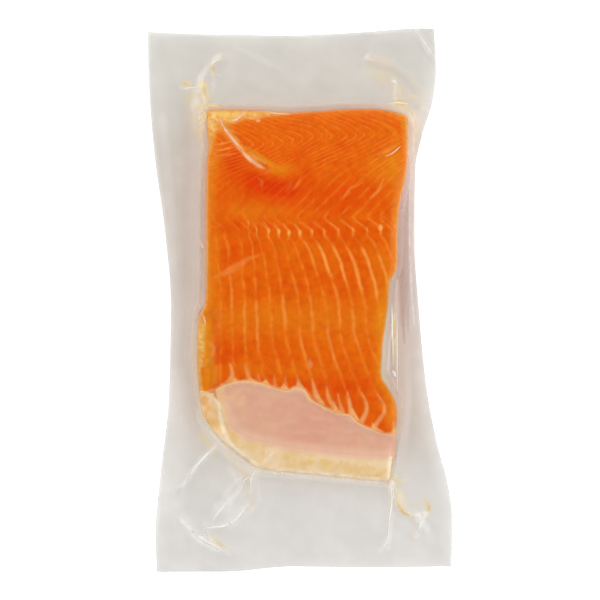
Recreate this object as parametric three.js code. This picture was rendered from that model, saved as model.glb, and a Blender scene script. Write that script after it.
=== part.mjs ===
// A vacuum pack of salmon: one fillet portion sealed in a clear pouch that lies flat, shown side up.
// Units are millimetres. X runs across the pouch, Y from its lower seal to its upper one, Z up.
// The origin is under the middle of the pack, on the surface that it lies on.
import * as THREE from 'three';

// ---- Pouch outline -------------------------------------------------------------------------
// A 160 mm pouch, drawn in at the waist by the block that fills it. Each edge is a smooth curve
// through stations of [place along the edge, place across it].
const PACK_HALF_WIDTH = 82.4;
const PACK_HALF_LENGTH = 147.2;
const LEFT_EDGE = [
  [-PACK_HALF_LENGTH, -77.6], [-128, -78.2], [-92, -75.3], [-53, -71.0], [-2, -69.9],
  [38, -73.2], [77, -78.6], [112, -81.6], [138, -PACK_HALF_WIDTH], [PACK_HALF_LENGTH, -PACK_HALF_WIDTH],
];
const RIGHT_EDGE = [
  [-PACK_HALF_LENGTH, 81.8], [-134, PACK_HALF_WIDTH], [-118, PACK_HALF_WIDTH], [-98, 79.7], [-79, 74.5],
  [-46, 68.3], [-8, 64.5], [34, 61.8], [70, 62.2], [90, 66.2], [109, 72.0], [126, 73.7],
  [PACK_HALF_LENGTH, 72.6],
];
const LOWER_EDGE = [
  [-PACK_HALF_WIDTH, -PACK_HALF_LENGTH], [-43, -PACK_HALF_LENGTH], [-4, -144.4],
  [40, -144.8], [PACK_HALF_WIDTH, -144.3],
];
const UPPER_EDGE = [
  [-PACK_HALF_WIDTH, 145.2], [-62, 144.2], [-4, 143.3], [40, 145.5],
  [66, PACK_HALF_LENGTH], [PACK_HALF_WIDTH, PACK_HALF_LENGTH],
];

// ---- Fillet block --------------------------------------------------------------------------
// Height of the block's top face above the table, from the belly edge to the back edge.
const BLOCK_HEIGHT = [
  [-99, 9.6], [-86, 11.2], [-72, 13.2], [-56, 16.2], [-36, 19.6], [-10, 22.8], [18, 25.4],
  [44, 27.0], [72, 27.0], [90, 25.2], [103, 22.5],
];
// The pouch's grid follows the block's four sides, and its slanted lower left corner.
const BLOCK_LEFT = [
  [-PACK_HALF_LENGTH, -46], [-112, -29], [-98, -22.6], [-91.5, -23], [-86, -29.8], [-76, -42.4], [-66, -50.4],
  [-58, -53.3], [-30, -55.7], [-4, -52.6], [40, -51.4], [83, -49.6], [103, -51.2],
];
const BLOCK_RIGHT = [[-99, 48.2], [-74, 51.4], [-54, 52.9], [20, 52.6], [48, 53.4], [72, 57.4], [103, 58.4]];
const BLOCK_LOWER = [[-53, -90.5], [-21, -91.2], [9, -94.6], [48, -98.4]];
const BLOCK_UPPER = [[-51, 102.7], [-4, 102.0], [22, 103.3], [40, 103.3], [58, 100.2]];

// Where red flesh gives way to the pale belly lining, which lies a little lower.
const LINING_LINE = [[-50, -50.0], [-33, -43.4], [-19, -45.0], [7, -53.0], [20, -60.6], [32, -66.4], [50, -72.4]];
const LINING_STEP = 1.3;
const LINING_STEP_WIDTH = 5;

// A hollow in the cut side, bridged by film that sinks into it.
const NOTCH = { top: 16, deepest: -36, bottom: -54, reach: 9.4, dip: 8.5, edgeWidth: 4.5 };
// The thinner strip of belly fat along the left side.
const FAT_STRIP = { top: -4, bottom: -74, width: 7, fade: 5, dip: 3.2 };
// The flesh is folded on the slant near its upper left corner.
const SKIN_FOLD = { from: [-43, 95], to: [-19, 70], depth: 1.1, halfWidth: 3.4 };

// ---- Film ----------------------------------------------------------------------------------
// Film leaves the block part-way up its side, and falls to the table over the pouch's margins.
const SEAM_HEIGHT = [[-99, 3.6], [-40, 6.4], [40, 9.6], [103, 8.2]];
const MARGIN_THICKNESS = 0.8;
const MARGIN_REST = 0.6;
const MARGIN_FALL = [[0, 1], [4, 0.86], [12, 0.52], [24, 0.18], [38, 0], [90, 0]];
// Share of the block's height that the upper film has reached, by distance inside the block's outline.
const UPPER_RISE = [[-7, 0], [-4.2, 0.06], [-2.2, 0.2], [-1, 0.42], [0, 0.7], [1.2, 0.86], [2.8, 0.95], [4.8, 0.99], [7, 1]];
// Share of the margin's height that the lower film keeps, by the same distance.
const LOWER_RISE = [[-6, 1], [-3, 0.94], [-1, 0.7], [1, 0.32], [3, 0.08], [5, 0]];
// Long low waves in the loose film past the block's ends.
const WAVE = { height: 1.0, pitch: 41, slant: 0.3, start: 8, full: 26 };
// Raised creases in the margins: [height, half width, then the points that the ridge runs through].
const CREASES = [
  [1.3, 3.4, [-65, -103], [-46, -81]],
  [1.5, 3.6, [-28, -94], [-36, -103], [-48, -119]],
  [1.4, 3.6, [-25, -98], [-24, -108], [-28, -113], [-40, -123], [-51, -123]],
  [1.4, 3.8, [-65, -119], [-57, -129], [-48, -134], [-37, -137]],
  [1.2, 3.2, [48, -99], [48, -119], [46, -134]],
  [1.5, 4.2, [52, -106], [55, -114], [62, -118], [67, -124]],
  [1.2, 3.6, [-50, 103], [-52, 112], [-52, 119], [-48, 126], [-42, 131]],
  [1.5, 3.8, [38, 130], [49, 127], [58, 121], [64, 113], [65, 106]],
  [1.0, 3.0, [62, 146], [72, 132]],
];

// ---- Grid ----------------------------------------------------------------------------------
// Cells close up towards the block's outline, where the film turns down its side.
const MARGIN_SHARES_LEFT = [0, 0.18, 0.35, 0.5, 0.64, 0.77, 0.88, 0.95];
const MARGIN_SHARES_RIGHT = [0.14, 0.36, 0.66, 1];
const MARGIN_SHARES_LOWER = [0, 0.1, 0.22, 0.34, 0.46, 0.58, 0.7, 0.8, 0.89, 0.96];
const MARGIN_SHARES_UPPER = [0.05, 0.13, 0.24, 0.37, 0.52, 0.68, 0.84, 1];
const EDGE_OFFSETS = [0, 1.4, 3.4, 6.6];
const INNER_COLUMNS = 16;
const INNER_ROWS = 34;
const CROSSING_TURNS = 6;
const OUTLINE_POINTS_PER_CURVE = 8;

/** A curve through [place, value] stations that never overshoots them. */
function smoothCurve(stations) {
  const count = stations.length;
  const slopes = [];
  for (let i = 0; i < count - 1; i++) {
    slopes.push((stations[i + 1][1] - stations[i][1]) / (stations[i + 1][0] - stations[i][0]));
  }
  const tangents = [slopes[0]];
  for (let i = 1; i < count - 1; i++) {
    const turns = slopes[i - 1] * slopes[i] <= 0;
    tangents.push(turns ? 0 : (2 * slopes[i - 1] * slopes[i]) / (slopes[i - 1] + slopes[i]));
  }
  tangents.push(slopes[count - 2]);
  return (place) => {
    if (place <= stations[0][0]) return stations[0][1];
    if (place >= stations[count - 1][0]) return stations[count - 1][1];
    let i = 0;
    while (place > stations[i + 1][0]) i++;
    const span = stations[i + 1][0] - stations[i][0];
    const t = (place - stations[i][0]) / span;
    const fromStart = (1 + 2 * t) * (1 - t) ** 2 * stations[i][1] + t * (1 - t) ** 2 * span * tangents[i];
    const fromEnd = t * t * (3 - 2 * t) * stations[i + 1][1] - t * t * (1 - t) * span * tangents[i + 1];
    return fromStart + fromEnd;
  };
}

const curves = {
  left: smoothCurve(LEFT_EDGE),
  right: smoothCurve(RIGHT_EDGE),
  lower: smoothCurve(LOWER_EDGE),
  upper: smoothCurve(UPPER_EDGE),
  blockLeft: smoothCurve(BLOCK_LEFT),
  blockRight: smoothCurve(BLOCK_RIGHT),
  blockLower: smoothCurve(BLOCK_LOWER),
  blockUpper: smoothCurve(BLOCK_UPPER),
  blockHeight: smoothCurve(BLOCK_HEIGHT),
  lining: smoothCurve(LINING_LINE),
  seam: smoothCurve(SEAM_HEIGHT),
  marginFall: smoothCurve(MARGIN_FALL),
  upperRise: smoothCurve(UPPER_RISE),
  lowerRise: smoothCurve(LOWER_RISE),
};

/** The block's outline seen from above: straight cuts, three round corners and one long slant. */
function blockOutline() {
  const at = (x, y) => new THREE.Vector2(x, y);
  const path = new THREE.Path();
  path.moveTo(-47.6, 102.6);
  path.splineThru([at(-20, 102.7), at(-4, 102.0), at(22, 103.3), at(40, 103.3), at(48, 102.2), at(55, 100.6)]);
  path.quadraticCurveTo(58.3, 99.9, 58.4, 96.6);
  path.splineThru([at(57.5, 70), at(53.4, 48), at(52.5, 20), at(52.6, -20), at(53, -54), at(51.4, -74), at(48.8, -95)]);
  path.quadraticCurveTo(48.2, -98.5, 45, -98.2);
  path.splineThru([at(9, -94.6), at(-21, -91.4), at(-30, -85.8), at(-42.5, -75.8), at(-50.5, -66)]);
  path.splineThru([at(-53.4, -58), at(-55.7, -30), at(-54.4, -8), at(-51.6, 3), at(-51.4, 60), at(-49.4, 83)]);
  path.lineTo(-50.7, 99);
  path.quadraticCurveTo(-51.1, 102.7, -47.6, 102.6);
  return path.getPoints(OUTLINE_POINTS_PER_CURVE);
}

const OUTLINE = blockOutline();

/** Distance from point (x, y) to the straight stretch from a to b. */
function stretchDistance(x, y, a, b) {
  const dx = b.x - a.x;
  const dy = b.y - a.y;
  const length2 = dx * dx + dy * dy || 1;
  const t = THREE.MathUtils.clamp(((x - a.x) * dx + (y - a.y) * dy) / length2, 0, 1);
  return Math.hypot(x - a.x - t * dx, y - a.y - t * dy);
}

/** Distance from (x, y) to the block's outline, positive inside. */
function insideDistance(x, y) {
  let nearest = Infinity;
  let inside = false;
  for (let i = 0, j = OUTLINE.length - 1; i < OUTLINE.length; j = i++) {
    const a = OUTLINE[i];
    const b = OUTLINE[j];
    nearest = Math.min(nearest, stretchDistance(x, y, a, b));
    const crosses = (a.y > y) !== (b.y > y) && x < ((b.x - a.x) * (y - a.y)) / (b.y - a.y) + a.x;
    if (crosses) inside = !inside;
  }
  return inside ? nearest : -nearest;
}

/** A ridge of height 1 on a line through points, fading to 0 at halfWidth to each side. */
function ridge(x, y, points, halfWidth) {
  let nearest = Infinity;
  for (let i = 0; i < points.length - 1; i++) {
    const a = { x: points[i][0], y: points[i][1] };
    const b = { x: points[i + 1][0], y: points[i + 1][1] };
    nearest = Math.min(nearest, stretchDistance(x, y, a, b));
  }
  return 1 - THREE.MathUtils.smoothstep(nearest, 0, halfWidth);
}

/** Height of the block's top face, before its edges turn down. */
function blockTop(x, y) {
  const { smoothstep } = THREE.MathUtils;
  let height = curves.blockHeight(y);
  height -= LINING_STEP * (1 - smoothstep(y - curves.lining(x), -LINING_STEP_WIDTH, 0));

  const above = smoothstep(y, NOTCH.deepest, NOTCH.top);
  const below = smoothstep(y, NOTCH.bottom, NOTCH.deepest);
  const reach = NOTCH.reach * (y > NOTCH.deepest ? 1 - above : below);
  const cutSide = curves.blockRight(y) - reach;
  height -= NOTCH.dip * (reach / NOTCH.reach) * smoothstep(x, cutSide, cutSide + NOTCH.edgeWidth);

  const alongStrip = smoothstep(y, FAT_STRIP.bottom, FAT_STRIP.bottom + FAT_STRIP.width)
    * (1 - smoothstep(y, FAT_STRIP.top - FAT_STRIP.width, FAT_STRIP.top));
  const fromLeft = x - curves.blockLeft(y);
  const acrossStrip = 1 - smoothstep(fromLeft, FAT_STRIP.width, FAT_STRIP.width + FAT_STRIP.fade);
  height -= FAT_STRIP.dip * alongStrip * acrossStrip;

  return height - SKIN_FOLD.depth * ridge(x, y, [SKIN_FOLD.from, SKIN_FOLD.to], SKIN_FOLD.halfWidth);
}

/** Height of the middle of the flat film round the block. */
function marginMiddle(x, y, outside) {
  const fall = curves.marginFall(Math.max(outside, 0));
  const seam = curves.seam(y);
  const loose = THREE.MathUtils.smoothstep(outside, WAVE.start, WAVE.full);
  const wave = WAVE.height * loose * (1 + Math.sin((2 * Math.PI * (x + WAVE.slant * y)) / WAVE.pitch));
  let height = MARGIN_REST + (seam - MARGIN_REST) * fall + wave;
  for (const [rise, halfWidth, ...points] of CREASES) {
    height += rise * ridge(x, y, points, halfWidth);
  }
  return height;
}

/** Heights of the lower and upper film at a place, as [lower, upper]. */
function filmHeights(x, y) {
  const inside = insideDistance(x, y);
  const middle = marginMiddle(x, y, -inside);
  const lower = (middle - MARGIN_THICKNESS / 2) * curves.lowerRise(inside);
  const flat = middle + MARGIN_THICKNESS / 2;
  const upper = flat + (blockTop(x, y) - flat) * curves.upperRise(inside);
  return [lower, upper];
}

/** Places from low to high, close together at the block's two edges and even between them. */
function crossing(low, blockLow, blockHigh, high, lowShares, highShares, innerCells) {
  const places = lowShares.map((share) => low + share * (blockLow - low));
  const lead = EDGE_OFFSETS[EDGE_OFFSETS.length - 1];
  places.push(...EDGE_OFFSETS.map((offset) => blockLow + offset));
  for (let i = 1; i < innerCells; i++) {
    places.push(blockLow + lead + (i / innerCells) * (blockHigh - blockLow - 2 * lead));
  }
  places.push(...EDGE_OFFSETS.map((offset) => blockHigh - offset).reverse());
  places.push(...highShares.map((share) => blockHigh + share * (high - blockHigh)));
  return places;
}

const columnsAt = (y) => crossing(
  curves.left(y), curves.blockLeft(y), curves.blockRight(y), curves.right(y),
  MARGIN_SHARES_LEFT, MARGIN_SHARES_RIGHT, INNER_COLUMNS,
);
const rowsAt = (x) => crossing(
  curves.lower(x), curves.blockLower(x), curves.blockUpper(x), curves.upper(x),
  MARGIN_SHARES_LOWER, MARGIN_SHARES_UPPER, INNER_ROWS,
);

/** The grid point of a column and a row: where the two curved lines cross, found by turns. */
function gridPoint(column, row) {
  let x = columnsAt(0)[column];
  let y = 0;
  for (let turn = 0; turn < CROSSING_TURNS; turn++) {
    y = rowsAt(x)[row];
    x = columnsAt(y)[column];
  }
  return [x, y];
}

/** The sealed pack as one closed skin: an upper and a lower sheet joined round the pouch's edge. */
function packGeometry() {
  const columns = columnsAt(0).length;
  const rows = rowsAt(0).length;
  const sheet = columns * rows;
  const positions = new Float32Array(sheet * 2 * 3);
  const faces = [];
  const index = (column, row) => row * columns + column;
  for (let row = 0; row < rows; row++) {
    for (let column = 0; column < columns; column++) {
      const [x, y] = gridPoint(column, row);
      const [lower, upper] = filmHeights(x, y);
      positions.set([x, y, upper], index(column, row) * 3);
      positions.set([x, y, lower], (index(column, row) + sheet) * 3);
    }
  }
  for (let row = 0; row < rows - 1; row++) {
    for (let column = 0; column < columns - 1; column++) {
      const a = index(column, row);
      const b = index(column + 1, row);
      const c = index(column + 1, row + 1);
      const d = index(column, row + 1);
      faces.push(a, b, c, a, c, d);
      faces.push(a + sheet, c + sheet, b + sheet, a + sheet, d + sheet, c + sheet);
    }
  }
  const rim = [];
  for (let column = 0; column < columns - 1; column++) rim.push(index(column, 0));
  for (let row = 0; row < rows - 1; row++) rim.push(index(columns - 1, row));
  for (let column = columns - 1; column > 0; column--) rim.push(index(column, rows - 1));
  for (let row = rows - 1; row > 0; row--) rim.push(index(0, row));
  rim.forEach((a, i) => {
    const b = rim[(i + 1) % rim.length];
    faces.push(a, a + sheet, b + sheet, a, b + sheet, b);
  });
  const geometry = new THREE.BufferGeometry();
  geometry.setAttribute('position', new THREE.BufferAttribute(positions, 3));
  geometry.setIndex(faces);
  geometry.computeVertexNormals();
  return geometry;
}

/** Salmon flesh under glossy clear film, as one colour. */
const salmonUnderFilm = new THREE.MeshStandardMaterial({
  color: 0xe06a24,
  roughness: 0.3,
  metalness: 0,
});

const sealedPack = new THREE.Mesh(packGeometry(), salmonUnderFilm);
sealedPack.name = 'sealed_pack';

const pack = new THREE.Group();
pack.add(sealedPack);

export default pack;
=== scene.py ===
"""A vacuum pack of salmon: a clear pouch drawn tight over one fillet portion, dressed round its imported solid.

The pouch is one closed bag of film. In it lie the fillet's flesh, the pale lining and the fat of its belly,
and a little juice. Sizes and places are millimetres until a mesh gets its points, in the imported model's
frame: X across the pouch, Y from its lower seal to its upper one, Z up from the surface that it lies on.
"""

import logging
import math
from dataclasses import dataclass
from enum import Enum
from typing import Callable, Sequence

import bpy
import numpy as np
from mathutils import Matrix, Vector


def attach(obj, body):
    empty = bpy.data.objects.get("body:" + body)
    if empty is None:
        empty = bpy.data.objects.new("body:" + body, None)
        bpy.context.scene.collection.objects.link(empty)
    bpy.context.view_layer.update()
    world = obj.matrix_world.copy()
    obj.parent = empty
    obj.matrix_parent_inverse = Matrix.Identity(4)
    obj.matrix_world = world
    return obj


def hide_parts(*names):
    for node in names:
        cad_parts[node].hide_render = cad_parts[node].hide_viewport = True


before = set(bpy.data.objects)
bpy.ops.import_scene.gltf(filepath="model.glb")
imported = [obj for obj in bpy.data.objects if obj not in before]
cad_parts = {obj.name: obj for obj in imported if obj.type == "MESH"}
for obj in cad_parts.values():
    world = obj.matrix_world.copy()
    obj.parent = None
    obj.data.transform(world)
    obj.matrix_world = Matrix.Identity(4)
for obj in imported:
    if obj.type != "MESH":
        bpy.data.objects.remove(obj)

MM = 0.001
BODY = "root"
SOLID = "sealed_pack"
SEED = 7

log = logging.getLogger("salmon_pack")

Array = np.ndarray
Pair = tuple[Array, Array]
Laid = tuple[Array, Array, Array]
Points = Sequence[tuple[float, float]]
Place = Callable[[Array, Array, Array], Laid]
Height = Callable[[Array, Array], Array]
Strokes = tuple  # Each stroke's share, then its points of (across, along, half width).
Spots = tuple  # Each spot's centre, its reach across and along, and its share.
Piece = bpy.types.Object
Material = bpy.types.Material
Socket = bpy.types.NodeSocket


# ---- Curves and distances ------------------------------------------------------------------------


class SmoothCurve:
    """A curve through (place, value) stations that never overshoots them."""

    def __init__(self, stations: Points) -> None:
        """Works out the curve's slope at each station.

        Args:
            stations: The (place, value) pairs, with rising places.
        """
        self.places, self.values = np.array(stations, float).T
        slopes = np.diff(self.values) / np.diff(self.places)
        product = slopes[:-1] * slopes[1:]
        total = slopes[:-1] + slopes[1:]
        between = np.where(product > 0, 2 * product / np.where(total == 0, 1, total), 0)
        self.tangents = np.concatenate([slopes[:1], between, slopes[-1:]])

    def __call__(self, place: Array) -> Array:
        """The curve's values at some places, level past its two ends.

        Args:
            place: Where the curve is read.

        Returns:
            One value for each place.
        """
        at = np.clip(place, self.places[0], self.places[-1])
        i = np.clip(np.searchsorted(self.places, at, side="right") - 1, 0, len(self.places) - 2)
        span = self.places[i + 1] - self.places[i]
        t = (at - self.places[i]) / span
        start = (1 + 2 * t) * (1 - t) ** 2 * self.values[i] + t * (1 - t) ** 2 * span * self.tangents[i]
        end = t * t * (3 - 2 * t) * self.values[i + 1] - t * t * (1 - t) * span * self.tangents[i + 1]
        return start + end


def smoothstep(value: Array, low: float, high: float) -> Array:
    """A soft step: 0 up to low, 1 from high on, and an S-curve between them."""
    t = np.clip((value - low) / (high - low), 0, 1)
    return t * t * (3 - 2 * t)


def spot(x: Array, y: Array, centre: tuple[float, float], reach: tuple[float, float]) -> Array:
    """A soft oval spot, 1 at its centre and falling to 0, with a reach across and along."""
    far = ((x - centre[0]) / reach[0]) ** 2 + ((y - centre[1]) / reach[1]) ** 2
    return np.exp(-far)


def spots(x: Array, y: Array, table: Spots) -> Array:
    """Several soft spots added up, up to 1, from a table of each one's centre, reach and share."""
    return np.clip(sum(share * spot(x, y, centre, reach) for centre, reach, share in table), 0, 1)


def line_distance(x: Array, y: Array, points: Points) -> Array:
    """Distance from places to a line through points.

    Args:
        x: Places across.
        y: Places along.
        points: The line's points.

    Returns:
        The distance of each place to the nearest stretch of the line.
    """
    nearest = np.full(np.shape(x), np.inf)
    for (ax, ay), (bx, by) in zip(points, points[1:]):
        dx, dy = bx - ax, by - ay
        t = np.clip(((x - ax) * dx + (y - ay) * dy) / ((dx * dx + dy * dy) or 1), 0, 1)
        nearest = np.minimum(nearest, np.hypot(x - ax - t * dx, y - ay - t * dy))
    return nearest


def inside_distance(x: Array, y: Array, outline: Array) -> Array:
    """Distance from places to a closed outline, positive inside it.

    Args:
        x: Places across.
        y: Places along.
        outline: The outline's points, without a repeat of the first one.

    Returns:
        One signed distance for each place.
    """
    closed = np.vstack([outline, outline[:1]])
    inside = np.zeros(np.shape(x), bool)
    for (ax, ay), (bx, by) in zip(closed, closed[1:]):
        if ay != by:
            crosses = ((ay > y) != (by > y)) & (x < (bx - ax) * (y - ay) / (by - ay) + ax)
            inside ^= crosses
    away = line_distance(x, y, [tuple(point) for point in closed])
    return np.where(inside, away, -away)


def stroke(x: Array, y: Array, points: tuple) -> Array:
    """A soft stroke of changing width.

    Args:
        x: Places across.
        y: Places along.
        points: The stroke's points of (across, along, half width).

    Returns:
        1 in the middle of the stroke, falling to 0 beside it.
    """
    path = [points[0]] + spline(points, 5)
    widest = max(point[2] for point in points)
    nearest, local = np.full(x.shape, np.inf), np.zeros(x.shape)
    for a, b in zip(path, path[1:]):
        dx, dy = b[0] - a[0], b[1] - a[1]
        t = np.clip(((x - a[0]) * dx + (y - a[1]) * dy) / ((dx * dx + dy * dy) or 1), 0, 1)
        width = np.maximum(a[2] + (b[2] - a[2]) * t, 0.05)
        away = np.hypot(x - a[0] - t * dx, y - a[1] - t * dy) / width
        local = np.where(away < nearest, width, local)
        nearest = np.minimum(nearest, away)
    return (1 - smoothstep(nearest, 0.25, 1.45)) * np.clip(0.3 + 0.7 * local / widest, 0, 1)


def painted(x: Array, y: Array, strokes: Strokes) -> Array:
    """Several soft strokes laid over each other.

    Args:
        x: Places across.
        y: Places along.
        strokes: Each stroke's share, then its points.

    Returns:
        The highest share at each place.
    """
    total = np.zeros(x.shape)
    for share, *points in strokes:
        reach = 1.5 * max(point[2] for point in points) + 0.5
        across, along = [point[0] for point in points], [point[1] for point in points]
        near = (x > min(across) - reach) & (x < max(across) + reach)
        near &= (y > min(along) - reach) & (y < max(along) + reach)
        total[near] = np.maximum(total[near], share * stroke(x[near], y[near], tuple(points)))
    return total


def spline(points: Points, steps: int) -> list[tuple[float, float]]:
    """Points along a soft curve that runs through the given ones.

    Args:
        points: The points to run through.
        steps: How many steps the curve takes between two of them.

    Returns:
        The curve's points, from the second step on.
    """
    p = np.array(points, float)
    found = []
    for i in range(len(p) - 1):
        before, after = p[max(i - 1, 0)], p[min(i + 2, len(p) - 1)]
        enter, leave = (p[i + 1] - before) / 2, (after - p[i]) / 2
        for step in range(1, steps + 1):
            t = step / steps
            bend = (2 * p[i] - 2 * p[i + 1] + enter + leave) * t**3
            bow = (-3 * p[i] + 3 * p[i + 1] - 2 * enter - leave) * t**2
            found.append(tuple(bend + bow + enter * t + p[i]))
    return found


def shares_along(points: Array) -> Array:
    """How far along a line each of its points is, from 0 to 1."""
    way = np.concatenate([[0], np.cumsum(np.hypot(*np.diff(points, axis=0).T))])
    return way / way[-1]


def nearest_point(outline: Array, place: tuple) -> int:
    """The number of the outline's point that is nearest to a place."""
    return int(np.argmin(np.hypot(*(outline - np.array(place)).T)))


def round_corner(start: Points, steps: int) -> list[tuple[float, float]]:
    """Points round a corner.

    Args:
        start: Where the round starts, its sharp corner, and where it ends.
        steps: How many steps it takes.

    Returns:
        The points after the first one.
    """
    a, corner, b = np.array(start, float)
    shares = [step / steps for step in range(1, steps + 1)]
    return [tuple((1 - t) ** 2 * a + 2 * t * (1 - t) * corner + t * t * b) for t in shares]


def inset(outline: Array, distance: float) -> Array:
    """A clockwise outline moved inwards.

    Args:
        outline: The outline's points.
        distance: How far each point moves.

    Returns:
        The moved points.
    """
    ahead = np.roll(outline, -1, axis=0) - np.roll(outline, 1, axis=0)
    ahead /= np.linalg.norm(ahead, axis=1)[:, None]
    inward = np.stack([ahead[:, 1], -ahead[:, 0]], axis=1)
    return outline + inward * distance


class Patch:
    """A four-sided patch of the plane, spread evenly between its four edges."""

    def __init__(self, lower: Array, right: Array, upper: Array, left: Array) -> None:
        """Keeps the edges, with the length along each.

        Args:
            lower: Points of the lower edge, from left to right.
            right: Points of the right edge, upwards.
            upper: Points of the upper edge, from left to right.
            left: Points of the left edge, upwards.
        """
        self.edges = [self.measured(edge) for edge in (lower, right, upper, left)]

    @staticmethod
    def measured(edge: Array) -> Pair:
        """An edge's points with each one's share of its length."""
        edge = np.array(edge, float)
        return edge, shares_along(edge)

    def edge(self, index: int, share: Array) -> Array:
        """Places on one edge.

        Args:
            index: Which edge: 0 lower, 1 right, 2 upper, 3 left.
            share: Shares of its length.

        Returns:
            The places, one row for each share.
        """
        points, shares = self.edges[index]
        return np.stack([np.interp(share, shares, column) for column in points.T], axis=-1)

    def __call__(self, u: Array, v: Array) -> Pair:
        """Places on the patch.

        Args:
            u: Shares from the left edge to the right one.
            v: Shares from the lower edge to the upper one.

        Returns:
            The places across and along.
        """
        uu, vv = u[:, None], v[:, None]
        across = (1 - vv) * self.edge(0, u) + vv * self.edge(2, u)
        along = (1 - uu) * self.edge(3, v) + uu * self.edge(1, v)
        ends = [self.edge(0, np.array([0.0, 1.0])), self.edge(2, np.array([0.0, 1.0]))]
        corners = (1 - vv) * ((1 - uu) * ends[0][0] + uu * ends[0][1])
        corners = corners + vv * ((1 - uu) * ends[1][0] + uu * ends[1][1])
        found = across + along - corners
        return found[:, 0], found[:, 1]


def outline_patch(outline: Array, corners: Points) -> Patch:
    """A patch between the four runs of a clockwise outline.

    Args:
        outline: The outline's points.
        corners: Where it is cut: upper left, upper right, lower right and lower left.

    Returns:
        The patch.
    """
    cuts = [nearest_point(outline, corner) for corner in corners]

    def run(first: int, last: int) -> Array:
        """The outline's points from one cut to the next."""
        count = (last - first) % len(outline) + 1
        return outline[[(first + i) % len(outline) for i in range(count)]]

    upper, right = run(cuts[0], cuts[1]), run(cuts[1], cuts[2])
    lower, left = run(cuts[2], cuts[3]), run(cuts[3], cuts[0])
    return Patch(lower[::-1], right[::-1], upper, left)


def edged(share: Array, pull: float = 0.055) -> Array:
    """Even shares drawn a little towards 0 and 1, where an edge needs finer cells."""
    return share - pull * np.sin(2 * math.pi * share)


# ---- The form that the solid and its dress share -------------------------------------------------


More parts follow.
